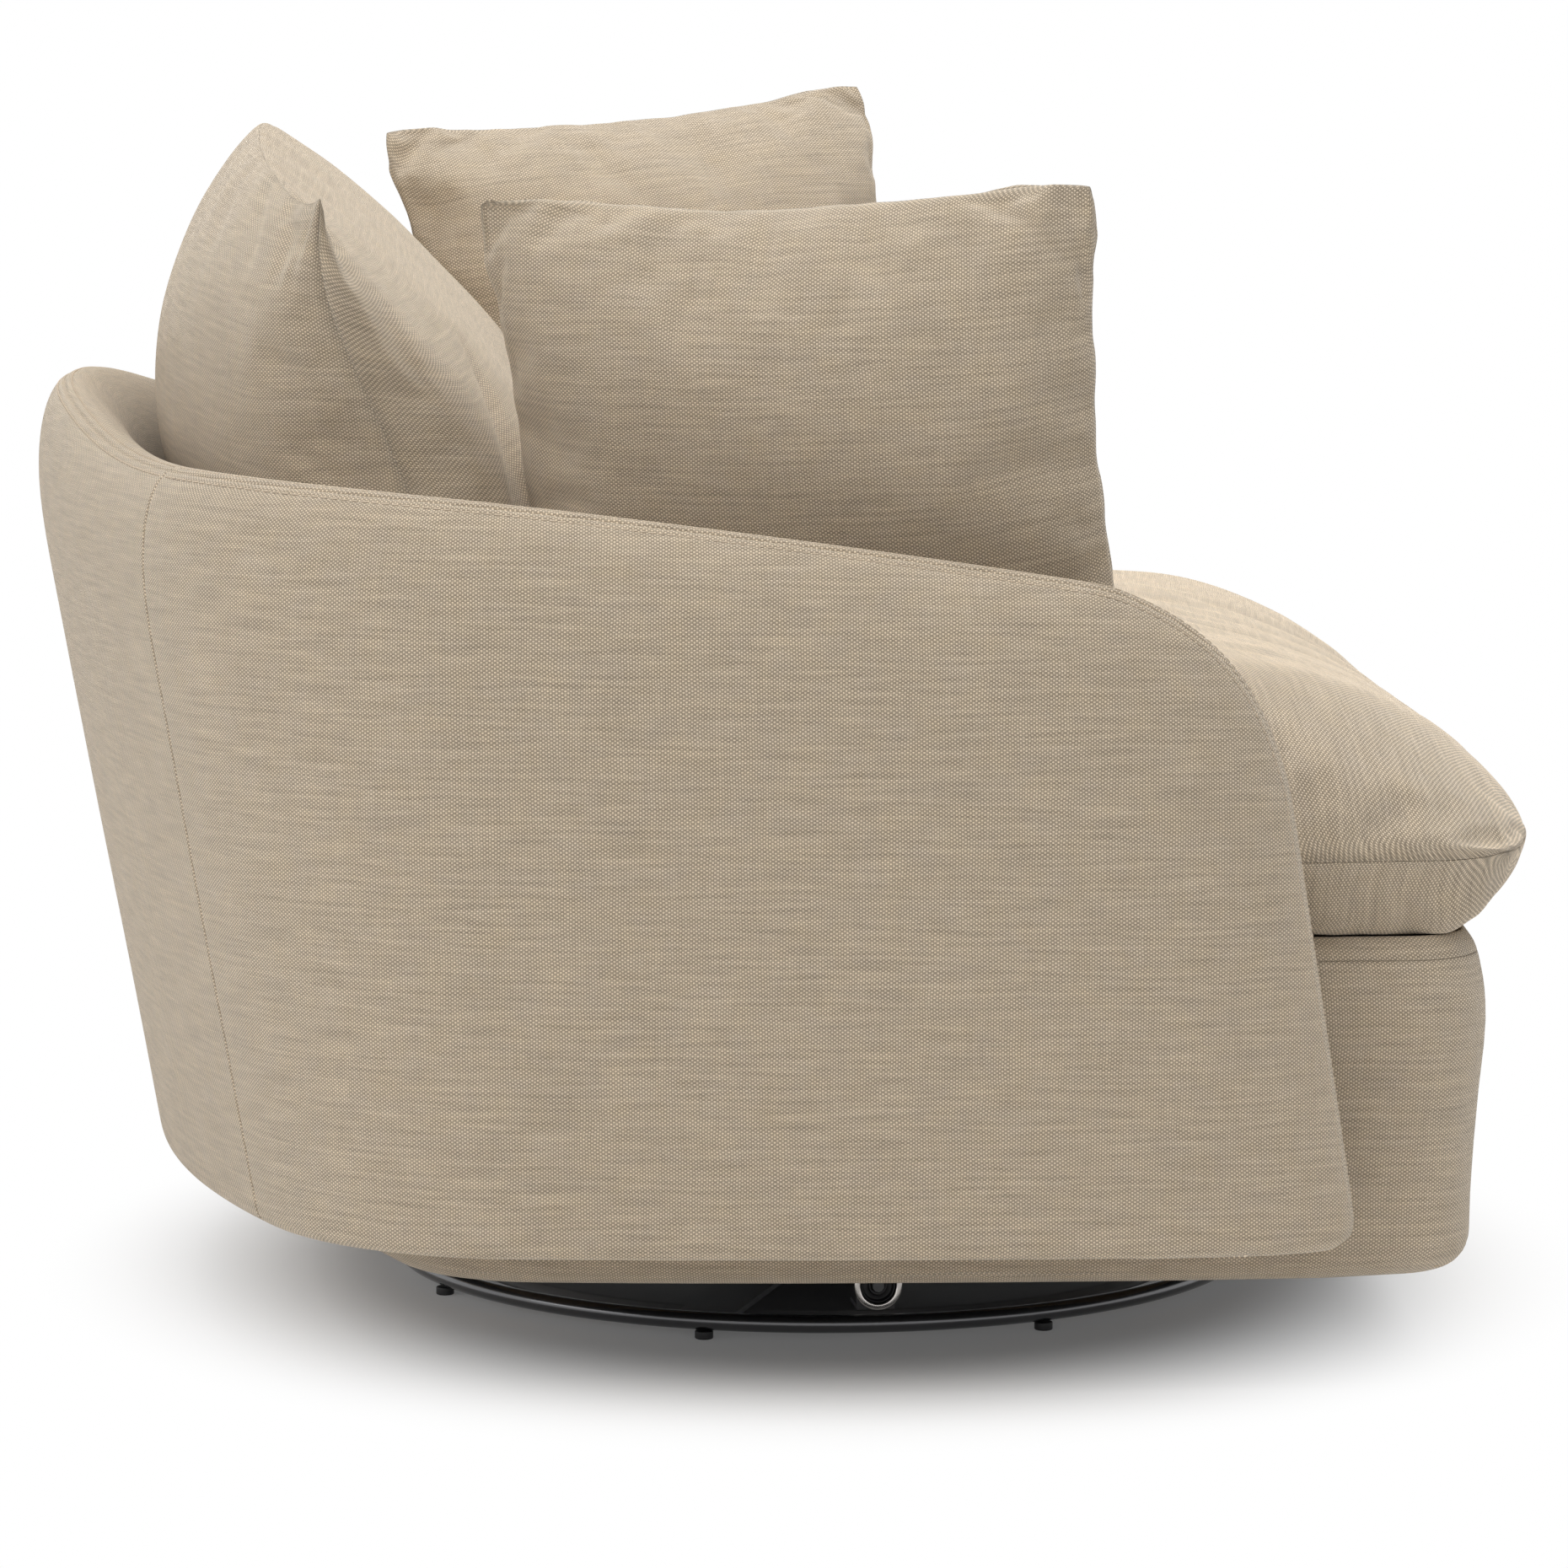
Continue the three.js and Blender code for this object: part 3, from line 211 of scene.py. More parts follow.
class CushionSettings(bpy.types.PropertyGroup):
    """Filling of the loose cushions"""
    pressure: FloatProperty(name="Pressure", description="Cloth pressure of the filling", default=4.0)
    frames: IntProperty(name="Frames", description="Frames of cloth simulation", default=20)
    stiffness: FloatProperty(
        name="Stiffness", description="Bending stiffness of the cover cloth", default=0.35)
    spare_cloth: FloatProperty(
        name="Spare cloth", description="Share by which the cover is cut larger than its form", default=0.035)
    crease_limit: FloatProperty(
        name="Crease limit", description="Greatest height of a crease", default=0.012, unit="LENGTH")
    swell_kept: FloatProperty(
        name="Swell kept", description="Share of the slow swell of the filling that is kept", default=0.10)
    seam_pinch: FloatProperty(
        name="Seam pinch", description="How far the seam is drawn in", default=0.0016, unit="LENGTH")
    seam_width: FloatProperty(
        name="Seam width", description="Half of the width of the seam's groove",
        default=0.0007, unit="LENGTH")


class FabricSettings(bpy.types.PropertyGroup):
    """Woven cover cloth"""
    light_yarn: FloatVectorProperty(
        name="Light yarn", description="Colour of the upper yarns",
        subtype="COLOR", size=3, min=0, max=1, default=(0.735, 0.600, 0.425))
    dark_yarn: FloatVectorProperty(
        name="Dark yarn", description="Colour between the yarns",
        subtype="COLOR", size=3, min=0, max=1, default=(0.250, 0.196, 0.134))
    cool_yarn: FloatVectorProperty(
        name="Cool yarn", description="Colour of the cooler slubs",
        subtype="COLOR", size=3, min=0, max=1, default=(0.655, 0.560, 0.455))
    warp_pitch: FloatProperty(
        name="Warp pitch", description="Distance between upright yarns", default=0.00171, unit="LENGTH")
    weft_pitch: FloatProperty(
        name="Weft pitch", description="Distance between level yarns", default=0.00122, unit="LENGTH")
    # Painted sheen: strength of the paler colour painted where the cloth turns away from the view
    painted_sheen: FloatProperty(name="Painted sheen", description="Gain of colour where the cloth turns away", default=0.12)
    bump: FloatProperty(name="Bump", description="Height of the weave", default=0.0004, unit="LENGTH")


class StageSettings(bpy.types.PropertyGroup):
    """Floor, lamps and camera"""
    floor_colour: FloatVectorProperty(
        name="Floor colour", description="Colour of the studio floor",
        subtype="COLOR", size=3, min=0, max=1, default=(0.92, 0.92, 0.92))
    top_lamp: FloatProperty(
        name="Top lamp", description="Power of the overhead lamp", default=88.0, unit="POWER")
    rear_lamp: FloatProperty(
        name="Rear lamp", description="Power of the lamp behind the chair", default=36.0, unit="POWER")
    side_lamp: FloatProperty(
        name="Side lamp", description="Power of the high lamp beside the chair", default=33.0, unit="POWER")
    world_light: FloatProperty(
        name="World light", description="Strength of the surrounding light", default=0.40)
    lens: FloatProperty(name="Lens", description="Focal length", default=135.5, unit="CAMERA")


# ---------------------------------------------------------------- mesh helpers
def make_object(name, points, faces, uvs=None, material=None):
    """Mesh object from points and faces, with cloth coordinates for each face corner."""
    mesh = bpy.data.meshes.new(name)
    mesh.from_pydata([tuple(p) for p in points], [], [tuple(int(i) for i in f) for f in faces])
    if uvs is not None:
        layer = mesh.uv_layers.new(name="Cloth")
        layer.data.foreach_set("uv", np.asarray(uvs, dtype=np.float32).ravel())
    mesh.validate()
    mesh.shade_smooth()
    obj = bpy.data.objects.new(name, mesh)
    bpy.context.scene.collection.objects.link(obj)
    if material is not None:
        mesh.materials.append(material)
    return obj


def turn_normals_out(obj):
    """Makes the faces of a closed mesh point outwards."""
    bm = bmesh.new()
    bm.from_mesh(obj.data)
    bmesh.ops.remove_doubles(bm, verts=bm.verts, dist=1e-6)
    bmesh.ops.recalc_face_normals(bm, faces=bm.faces)
    bm.to_mesh(obj.data)
    bm.free()
    obj.data.shade_smooth()


def subdivide(obj):
    """Applies one level of smooth subdivision."""
    modifier = obj.modifiers.new("Smooth", "SUBSURF")
    modifier.levels = modifier.render_levels = 1
    modifier.boundary_smooth = "PRESERVE_CORNERS"
    apply_modifiers(obj)


def apply_modifiers(obj):
    """Replaces the mesh of an object by its evaluated mesh."""
    graph = bpy.context.evaluated_depsgraph_get()
    mesh = bpy.data.meshes.new_from_object(obj.evaluated_get(graph), depsgraph=graph)
    old = obj.data
    obj.modifiers.clear()
    obj.data = mesh
    mesh.name = obj.name
    bpy.data.meshes.remove(old)


def grid_cells(nu, nv):
    """Corner indices of each cell of a grid."""
    for i in range(nu - 1):
        for j in range(nv - 1):
            yield [(i, j), (i + 1, j), (i + 1, j + 1), (i, j + 1)]


def from_above(points, faces):
    """Cloth coordinates of level cloth."""
    return [tuple(points[i][:2]) for f in faces for i in f]


def band_faces(rows, count, start=0, wrap=False):
    """Faces between rings of points that follow each other; wrap joins the last ring to the first."""
    faces = []
    for r in range(rows if wrap else rows - 1):
        low, high = start + r * count, start + (r + 1) % rows * count
        faces += [(low + k, low + (k + 1) % count, high + (k + 1) % count, high + k) for k in range(count)]
    return faces


def lathe(name, outline, sides, matrix, material):
    """Turned piece from (radius, height) points; the outline closes on itself or starts on the axis."""
    outline = np.asarray(outline, float)
    if not np.allclose(outline[0], outline[-1]) and outline[0][0] > 1e-6:
        raise RuntimeError(f"{name}: the outline is open")
    angles = np.arange(sides) * 2 * math.pi / sides
    points = [matrix @ Vector((radius * math.cos(a), radius * math.sin(a), height))
              for radius, height in outline for a in angles]
    obj = make_object(name, points, band_faces(len(outline), sides), material=material)
    turn_normals_out(obj)
    return obj


def rounded(corners, radius, steps=4):
    """(radius, height) outline with its inner corners rounded."""
    out = []
    corners = [np.asarray(c, float) for c in corners]
    for i, corner in enumerate(corners):
        if i in (0, len(corners) - 1):
            out.append(corner)
            continue
        before, after = corners[i - 1] - corner, corners[i + 1] - corner
        reach = min(radius, np.linalg.norm(before) * 0.45, np.linalg.norm(after) * 0.45)
        a = corner + before / np.linalg.norm(before) * reach
        b = corner + after / np.linalg.norm(after) * reach
        for k in range(steps + 1):
            t = k / steps
            out.append((1 - t) ** 2 * a + 2 * t * (1 - t) * corner + t ** 2 * b)
    return out


# ---------------------------------------------------------------- tub surface
def arcs():
    """Start distance, radius, start angle and centre of the three arcs of the plan."""
    found, corner, start = [], np.array([0.0, BACK_FOOT]), 0.0
    for radius, a, b in (
        (BACK_RADIUS, 0.0, BACK_HALF_ANGLE),
        (CORNER_RADIUS, BACK_HALF_ANGLE, SIDE_START_ANGLE),
        (SIDE_RADIUS, SIDE_START_ANGLE, math.pi),
    ):
        centre = corner - radius * np.array([math.sin(a), math.cos(a)])
        found.append((start, radius, a, centre))
        corner = centre + radius * np.array([math.sin(b), math.cos(b)])
        start += radius * (b - a)
    return found


ARCS = arcs()


def plan(s):
    """Place, outward direction and turning angle of the foot line at signed distances s."""
    s = np.asarray(s, float)
    side, d = np.where(s < 0, -1.0, 1.0), np.abs(s)
    place, angle = np.zeros(s.shape + (2,)), np.zeros(s.shape)
    for start, radius, a, centre in ARCS:
        here = d >= start - 1e-9
        turned = a + (d - start) / radius
        place[here] = (centre + radius * np.stack([np.sin(turned), np.cos(turned)], -1))[here]
        angle[here] = turned[here]
    outward = np.stack([side * np.sin(angle), np.cos(angle)], -1)
    place[..., 0] *= side
    return place, outward, side * angle


def smoothstep(x, a, b):
    t = np.clip((np.asarray(x, float) - a) / (b - a), 0, 1)
    return t * t * (3 - 2 * t)


def lean_at(s):
    return BACK_LEAN + (SIDE_LEAN - BACK_LEAN) * smoothstep(np.abs(s), COVER_SEAM + 0.012, SIDE_BEGIN)


def wall_points(s, z, out):
    """Points of the wall, at offsets outwards from its middle surface."""
    place, outward, _ = plan(s)
    offset = lean_at(s) * (z - WALL_FOOT) - WALL_THICKNESS / 2 + out
    flat = place + outward * offset[..., None]
    return np.stack([flat[..., 0], flat[..., 1] + AXIS_Y, z], -1)


def bezier(a, b, c, d, count):
    t = np.linspace(0, 1, count)[:, None]
    a, b, c, d = (np.asarray(p, float) for p in (a, b, c, d))
    return (1 - t) ** 3 * a + 3 * (1 - t) ** 2 * t * b + 3 * (1 - t) * t ** 2 * c + t ** 3 * d


def rim_line():
    """Rim as points of (distance along the wall, height), evenly spaced."""
    begin = WALL_END - ARM_TOP_SETBACK
    shoulder = WALL_END - SHOULDER_SETBACK
    fall = (RIM_CORNER - RIM_ARM) / (begin - BACK_ARC) * RIM_STEEPENING
    pieces = [
        bezier((0, RIM_BACK), (BACK_ARC * 0.5, RIM_BACK),
               (BACK_ARC * 0.6, RIM_CORNER), (BACK_ARC, RIM_CORNER), 140),
        bezier((BACK_ARC, RIM_CORNER), (BACK_ARC + CORNER_ARC * 0.6, RIM_CORNER),
               (begin - SIDE_LENGTH / 5, RIM_ARM + fall * SIDE_LENGTH / 4), (begin, RIM_ARM), 140),
        bezier((begin, RIM_ARM), (begin + ARM_TOP_SETBACK * 0.4, RIM_ARM - fall * ARM_TOP_SETBACK),
               (shoulder - SHOULDER_SETBACK / 3, RIM_SHOULDER + ARM_TOP_SETBACK * 0.4),
               (shoulder, RIM_SHOULDER), 90),
        np.linspace((shoulder, RIM_SHOULDER), (WALL_END, WALL_FOOT), 90),
    ]
    line = np.vstack([pieces[0]] + [p[1:] for p in pieces[1:]])
    run = np.r_[0, np.cumsum(np.linalg.norm(np.diff(line, axis=0), axis=1))]
    even = np.linspace(0, run[-1], 700)
    return np.stack([np.interp(even, run, line[:, 0]), np.interp(even, run, line[:, 1])], -1), even


RIM, RIM_RUN = rim_line()


def rim_at(run):
    """Rim point and outward direction in (distance, height) at a length along the rim."""
    run = np.asarray(run, float)
    point = np.stack([np.interp(run, RIM_RUN, RIM[:, 0]), np.interp(run, RIM_RUN, RIM[:, 1])], -1)
    step = 0.012
    low, high = np.clip(run - step, 0, RIM_RUN[-1]), np.clip(run + step, 0, RIM_RUN[-1])
    ahead = np.stack([np.interp(high, RIM_RUN, RIM[:, 0]) - np.interp(low, RIM_RUN, RIM[:, 0]),
                      np.interp(high, RIM_RUN, RIM[:, 1]) - np.interp(low, RIM_RUN, RIM[:, 1])], -1)
    ahead /= np.linalg.norm(ahead, axis=-1, keepdims=True)
    return point, np.stack([-ahead[..., 1], ahead[..., 0]], -1)


def rim_run_at(distance):
    return float(np.interp(distance, RIM[:, 0], RIM_RUN))


def rim_distance(s, z):
    """Distance of wall points from the rim, in the unrolled wall."""
    p = np.stack([np.abs(s), z], -1)
    shape = p.shape[:-1]
    p = p.reshape(-1, 2)
    best = np.full(len(p), np.inf)
    a, b = RIM[:-1], RIM[1:]
    along = b - a
    square = (along ** 2).sum(1)
    for chunk in range(0, len(p), 4000):
        q = p[chunk:chunk + 4000, None]
        t = np.clip(((q - a) * along).sum(-1) / square, 0, 1)
        best[chunk:chunk + 4000] = np.linalg.norm(q - a - t[..., None] * along, axis=-1).min(1)
    return best.reshape(shape)


def half_thickness(d, height):
    """Half of the wall's thickness at a distance from the rim and a height over the foot."""
    share = np.clip(d / RIM_ROLL, 0, 1)
    half = WALL_THICKNESS / 2 * np.sqrt(np.clip(1 - (1 - share) ** 2, 0, 1))
    low = np.clip(height, 0, FOOT_ROUND)
    cut = FOOT_ROUND - np.sqrt(FOOT_ROUND ** 2 - (FOOT_ROUND - low) ** 2)
    return half - np.minimum(cut, half * 0.7)


def fillet(s, z):
    """Rounds the corner between the arm's front and foot."""
    side = np.where(s < 0, -1.0, 1.0)
    x = (np.abs(s) - (WALL_END - CORNER_FILLET)) / CORNER_FILLET
    y = (WALL_FOOT + CORNER_FILLET - z) / CORNER_FILLET
    inside = (x > 0) & (y > 0)
    cx, cy = np.clip(x, 0, 1), np.clip(y, 0, 1)
    nx, ny = cx * np.sqrt(1 - cy ** 2 / 2), cy * np.sqrt(1 - cx ** 2 / 2)
    s = np.where(inside, side * (WALL_END - CORNER_FILLET + nx * CORNER_FILLET), s)
    return s, np.where(inside, WALL_FOOT + CORNER_FILLET - ny * CORNER_FILLET, z)


def groove(distance, depth, width=0.0011):
    return depth * np.exp(-(np.asarray(distance) / width) ** 2)


def roll_rows(seam_drop):
    """Distances below the rim of the mesh rows over the roll, and the angles of its three lines."""
    seam = math.acos(1 - seam_drop / RIM_ROLL)
    lines = [seam - STITCH_TURN, seam, seam + STITCH_TURN]
    fine = [line + k for line in lines for k in (-0.045, -0.022, 0.0, 0.022, 0.045)]
    coarse = [0.0, 0.12, 0.26, 0.43, 0.52, 0.62, 0.73, 0.85, 0.98, 1.12]
    end = math.acos(1 - ROLL_REACH / RIM_ROLL)
    angles = sorted(a for a in fine + coarse + [end] if a <= end + 1e-9)
    kept = [angles[0]]
    for a in angles[1:]:
        if a - kept[-1] > 0.015:
            kept.append(a)
    kept[-1] = end
    return RIM_ROLL * (1 - np.cos(np.array(kept))), lines


def roll_arc():
    """Arc length from the crest as a function of the distance below the rim."""
    phi = np.linspace(0, math.pi / 2, 200)
    d = RIM_ROLL * (1 - np.cos(phi))
    x = WALL_THICKNESS / 2 * np.sin(phi)
    return d, np.r_[0, np.cumsum(np.hypot(np.diff(d), np.diff(x)))]


ARC_D, ARC_L = roll_arc()


def wall_columns(run_from, run_to, settings):
    """Rim points, outward directions and foot distances of the mesh columns of one wall piece."""
    turn = WALL_END - ARM_TOP_SETBACK - ARM_TOP_SETBACK / 2  # where the columns start to fan out
    turn_run = rim_run_at(turn)
    end = RIM_RUN[-1]
    runs = list(np.arange(run_from, min(run_to, turn_run), settings.panel_step))
    if run_to > turn_run:
        runs += list(np.linspace(turn_run, end - 0.03, 44))
        runs += [end - k for k in (0.02, 0.012, 0.007, 0.0035, 0.0012, 0.0)]
    else:
        runs.append(run_to)
    close = (0.0004, 0.0011, 0.0024, 0.0055)
    runs += [run_from + k for k in close] if run_from > 0 else []
    runs += [run_to - k for k in close] if run_to < end else []
    runs = np.array(sorted(set(runs)))
    point, outward = rim_at(runs)
    near = np.minimum(np.abs(runs - run_from), np.abs(runs - run_to) if run_to < end else 1.0)
    upright = smoothstep(near, 0.0, 0.06)
    outward[:, 0] *= upright
    outward /= np.linalg.norm(outward, axis=1, keepdims=True)
    last = WALL_END - ROLL_REACH - 0.06
    share = np.clip((runs - turn_run) / (end - turn_run), 0, 1)
    foot = np.where(runs <= turn_run, point[:, 0], turn + (last - turn) * share)
    return point, outward, foot


def wall_piece(name, run_from, run_to, side, settings, material):
    """One cover of the wall; run_from may be below 0 for the back, which spans the middle."""
    if run_from < 0:
        point, outward, foot = wall_columns(0.0, run_to, settings)
        other = slice(None, 0, -1)
        point = np.vstack([point[other] * (-1, 1), point])
        outward = np.vstack([outward[other] * (-1, 1), outward])
        foot = np.r_[-foot[other], foot]
    else:
        point, outward, foot = wall_columns(run_from, run_to, settings)
    rows_d, lines = roll_rows(settings.seam_drop)
    columns = []
    low = [0.0, 0.0008, 0.0028, 0.0058, 0.009, 0.014]
    body_rows = 17
    for (s, z), (ns, nz), f in zip(point, outward, foot):
        ring = [(s - ns * d, max(z - nz * d, WALL_FOOT)) for d in rows_d]
        s1, z1 = ring[-1]
        tall = z1 - WALL_FOOT
        scale = min(1.0, tall / 0.06)
        heights = list(np.linspace(tall, low[-1] * scale, body_rows)[1:]) + [h * scale for h in low[-2::-1]]
        for h in heights:
            share = 1 - h / tall if tall > 1e-9 else (len(ring) - len(rows_d) + 1) / len(heights)
            ring.append((s1 + (f - s1) * share, WALL_FOOT + h))
        columns.append(ring)
    grid = np.array(columns) * (side, 1)
    s, z = grid[..., 0], grid[..., 1]
    d = rim_distance(s, z)
    height = z - WALL_FOOT
    half = half_thickness(d, height)
    half[:, 0] = 0
    swell = np.array([[noise.noise(Vector((a * 5.5, b * 5.5, 3.0))) for a, b in row] for row in grid])
    fade = smoothstep(d, 0.0, 0.05)
    phi = np.arccos(np.clip(1 - d / RIM_ROLL, 0, 1))
    arm = WALL_THICKNESS / 2
    drop = groove((phi - lines[1]) * arm, settings.seam_depth)
    for line in (lines[0], lines[2]):
        drop += groove((phi - line) * arm, settings.seam_depth * STITCH_DEPTH_SHARE, STITCH_WIDTH)
    upright = groove(np.abs(s) - COVER_SEAM, settings.seam_depth, STITCH_WIDTH)
    outer_drop = np.maximum(drop, upright * smoothstep(phi, lines[1] - 0.01, lines[1] + 0.02))
    uneven = settings.unevenness * swell * fade
    ms, mz = fillet(s, z)
    # Depth of the drop is taken along the wall's normal, which turns upwards over the roll
    turn = np.sin(phi)
    outer = wall_points(ms, mz - outer_drop * np.cos(phi), half - outer_drop * turn + uneven)
    inner = wall_points(ms, mz, uneven - half)
    inner[:, 0] = outer[:, 0]
    # Cloth coordinates: the outer panel below the seam, and the strip over the rim with the inner panel
    _, _, angle = plan(s)
    reference = SIDE_START_ANGLE * side if run_from >= 0 else 0.0
    lean = lean_at(s) * height
    over = np.clip(d, 0, RIM_ROLL)
    extra = ARC_L[-1] - np.interp(over, ARC_D, ARC_L) - (RIM_ROLL - over)
    towards = outward[:, None, :] * (side, 1)
    flat_outer = np.stack([s + lean * (angle - reference), z], -1) + towards * extra[..., None]
    arc = np.interp(over, ARC_D, ARC_L) + np.clip(d - RIM_ROLL, 0, None)
    crest = flat_outer[:, :1]
    over_outer = crest - towards * arc[..., None] + STRIP_SHIFT
    over_inner = crest + towards * arc[..., None] + STRIP_SHIFT
    n_col, n_row = s.shape
    seam_row = int(np.argmin(np.abs(rows_d - settings.seam_drop)))
    index_outer = np.arange(n_col * n_row).reshape(n_col, n_row)
    index_inner = index_outer + n_col * n_row
    index_inner[:, 0] = index_outer[:, 0]
    points = np.vstack([outer.reshape(-1, 3), inner.reshape(-1, 3)])
    faces, uvs = [], []

    def add(corner_ids, corner_uvs):
        faces.append(corner_ids)
        uvs.extend(corner_uvs)

    for c in range(n_col - 1):
        for r in range(n_row - 1):
            cells = [(c, r), (c + 1, r), (c + 1, r + 1), (c, r + 1)]
            cloth = over_outer if r < seam_row else flat_outer
            add([index_outer[k] for k in cells], [cloth[k] for k in cells])
            add([index_inner[k] for k in cells[::-1]], [over_inner[k] for k in cells[::-1]])
        bottom = [index_outer[c, -1], index_outer[c + 1, -1], index_inner[c + 1, -1], index_inner[c, -1]]
        add(bottom, [points[i][:2] for i in bottom])
    for c in (0, n_col - 1):
        for r in range(n_row - 1):
            cap = [index_outer[c, r], index_outer[c, r + 1], index_inner[c, r + 1], index_inner[c, r]]
            cap = list(dict.fromkeys(cap))
            add(cap, [points[i][1:] for i in cap])
    obj = make_object(name, points, faces, uvs, material)
    turn_normals_out(obj)
    subdivide(obj)
    return obj


def stitch_row(run_from, run_to, side, line, settings):
    """Both ends of each thread stitch along one line of the rim."""
    _, lines = roll_rows(settings.seam_drop)
    phi = lines[line]
    d = RIM_ROLL * (1 - math.cos(phi))
    count = int((run_to - run_from) / settings.stitch_pitch)
    shares = np.array([0.15, 0.85])
    ends = run_from + np.arange(count)[:, None] * settings.stitch_pitch + shares * settings.stitch_pitch
    point, outward = rim_at(np.abs(ends))
    sign = np.where(ends < 0, -1.0, 1.0) * side
    s = (point[..., 0] - outward[..., 0] * d) * sign
    z = point[..., 1] - outward[..., 1] * d
    half = half_thickness(np.full(s.shape, d), z - WALL_FOOT)
    lift = settings.stitch_radius * 0.8 - settings.seam_depth * STITCH_DEPTH_SHARE
    s, z = fillet(s, z)
    spots = wall_points(s, z + lift * math.cos(phi), half + lift * math.sin(phi))
    return [(Vector(a), Vector(b)) for a, b in spots]


def threads(name, pairs, radius, material):
    """Short thread bridges, each a six-sided spindle."""
    points, faces = [], []
    sides = 6
    stations = ((0.0, 0.25), (0.12, 0.85), (0.5, 1.15), (0.88, 0.85), (1.0, 0.25))
    for a, b in pairs:
        along = b - a
        if along.length < 1e-5:
            continue
        frame_matrix = along.to_track_quat("Z", "Y").to_matrix()
        start = len(points)
        for share, size in stations:
            for k in range(sides):
                angle = 2 * math.pi * k / sides
                ring = Vector((math.cos(angle), math.sin(angle), 0)) * radius * size
                points.append(a + along * share + frame_matrix @ ring)
        faces += band_faces(len(stations), sides, start)
        faces.append(tuple(start + k for k in reversed(range(sides))))
        faces.append(tuple(start + (len(stations) - 1) * sides + k for k in range(sides)))
    return make_object(name, points, faces, material=material)


# ---------------------------------------------------------------- plinth outline
def plinth_outline(inset, count=360):
    """Plan of the plinth, drawn in from the tub's inner face, as evenly spaced points."""
    drawn = WALL_THICKNESS + PLINTH_GAP + inset
    s = np.linspace(0, WALL_END, 120)
    place, outward, _ = plan(s)
    half = place - outward * drawn
    front = -(PLINTH_FRONT - PLINTH_BOW - inset)
    radius = max(PLINTH_CORNER - inset, 0.004)
    keep = half[half[:, 1] > front + radius + 0.004]
    side_x = float(np.interp(-(front + radius), -half[:, 1], half[:, 0]))
    a = np.linspace(0, math.pi / 2, 14)
    corner = np.stack([side_x - radius * (1 - np.cos(a)), front + radius * (1 - np.sin(a))], -1)
    x = np.linspace(side_x - radius, 0, 30)[1:]
    reach = side_x - radius
    across = np.stack([x, front - PLINTH_BOW * (1 - (x / reach) ** 2)], -1)
    half = np.vstack([keep, corner, across])
    loop = np.vstack([half, half[-2:0:-1] * (-1, 1)])
    loop = np.vstack([loop, loop[:1]])
    run = np.r_[0, np.cumsum(np.linalg.norm(np.diff(loop, axis=0), axis=1))]
    even = np.linspace(0, run[-1], count, endpoint=False)
    flat = np.stack([np.interp(even, run, loop[:, 0]), np.interp(even, run, loop[:, 1])], -1)
    return flat + (0, AXIS_Y), even


def plinth_piece(name, rows, material, noise_height, seam_row):
    """Padded band from (inset, height) rows that close on themselves, rounder below at the front."""
    loops = []
    runs = plinth_outline(0.0)[1]
    for inset, z in rows:
        flat = plinth_outline(inset)[0]
        if z < PLINTH_ROUND_TOP and inset > PLINTH_ROUND_INSET:
            tight = plinth_outline(PLINTH_ROUND_INSET + (inset - PLINTH_ROUND_INSET) * PLINTH_ROUND_SIDES)[0]
            front = 1 - smoothstep(flat[:, 1], *PLINTH_ROUND_FADE)
            flat = tight + (flat - tight) * front[:, None]
        loops.append(np.column_stack([flat, np.full(len(flat), z)]))
    loops = np.array(loops)
    n_row, n = loops.shape[:2]
    for r in range(1, n_row - 1):
        for k in range(n):
            p = loops[r, k]
            out = Vector((p[0], p[1] - AXIS_Y, 0)).normalized()
            loops[r, k, :2] += np.array(out[:2]) * noise_height * noise.noise(Vector(p) * 7)
    length = np.r_[0, np.cumsum([np.hypot(b[0] - a[0], b[1] - a[1]) for a, b in zip(rows, rows[1:])])]
    step = runs[1] - runs[0]
    uvs = []
    for r in range(n_row - 1):
        shift = TOP_PANEL_SHIFT if r >= seam_row else (0.0, 0.0)
        low, high = length[r] + shift[1], length[r + 1] + shift[1]
        for run in runs:
            left, right = run + shift[0], run + step + shift[0]
            uvs += [(left, low), (right, low), (right, high), (left, high)]
    obj = make_object(name, loops.reshape(-1, 3), band_faces(n_row, n), uvs, material)
    turn_normals_out(obj)
    return obj


# ---------------------------------------------------------------- cushions
def catmull(points, count):
    """Smooth curve through points, evenly spaced."""
    points = np.asarray(points, float)
    padded = np.vstack([2 * points[0] - points[1], points, 2 * points[-1] - points[-2]])
    out = []
    for i in range(1, len(padded) - 2):
        p0, p1, p2, p3 = padded[i - 1:i + 3]
        t = np.linspace(0, 1, 40, endpoint=False)[:, None]
        out.append(0.5 * (2 * p1 + (p2 - p0) * t + (2 * p0 - 5 * p1 + 4 * p2 - p3) * t ** 2
                          + (3 * p1 - p0 - 3 * p2 + p3) * t ** 3))
    line = np.vstack(out + [points[-1:]])
    run = np.r_[0, np.cumsum(np.linalg.norm(np.diff(line, axis=0), axis=1))]
    even = np.linspace(0, run[-1], count)
    return np.stack([np.interp(even, run, line[:, k]) for k in range(line.shape[1])], -1)


def spaced(count):
    """Shares from 0 to 1, a little closer at both ends."""
    t = np.linspace(0, 1, count)
    return t - 0.11 * np.sin(2 * math.pi * t)


def coons(front, rear, left, right):
    """Plan grid of a cushion from its four edges, each an evenly spaced line of points."""
    nu, nv = len(front), len(left)
    u, v = spaced(nu)[:, None, None], spaced(nv)[None, :, None]
    f, r, a, b = front[:, None], rear[:, None], left[None], right[None]
    corners = ((1 - u) * (1 - v) * front[0] + u * (1 - v) * front[-1]
               + (1 - u) * v * rear[0] + u * v * rear[-1])
    return (1 - v) * f + v * r + (1 - u) * a + u * b - corners


def at_shares(line, shares):
    run = np.linspace(0, 1, len(line))
    return np.stack([np.interp(shares, run, line[:, k]) for k in range(line.shape[1])], -1)


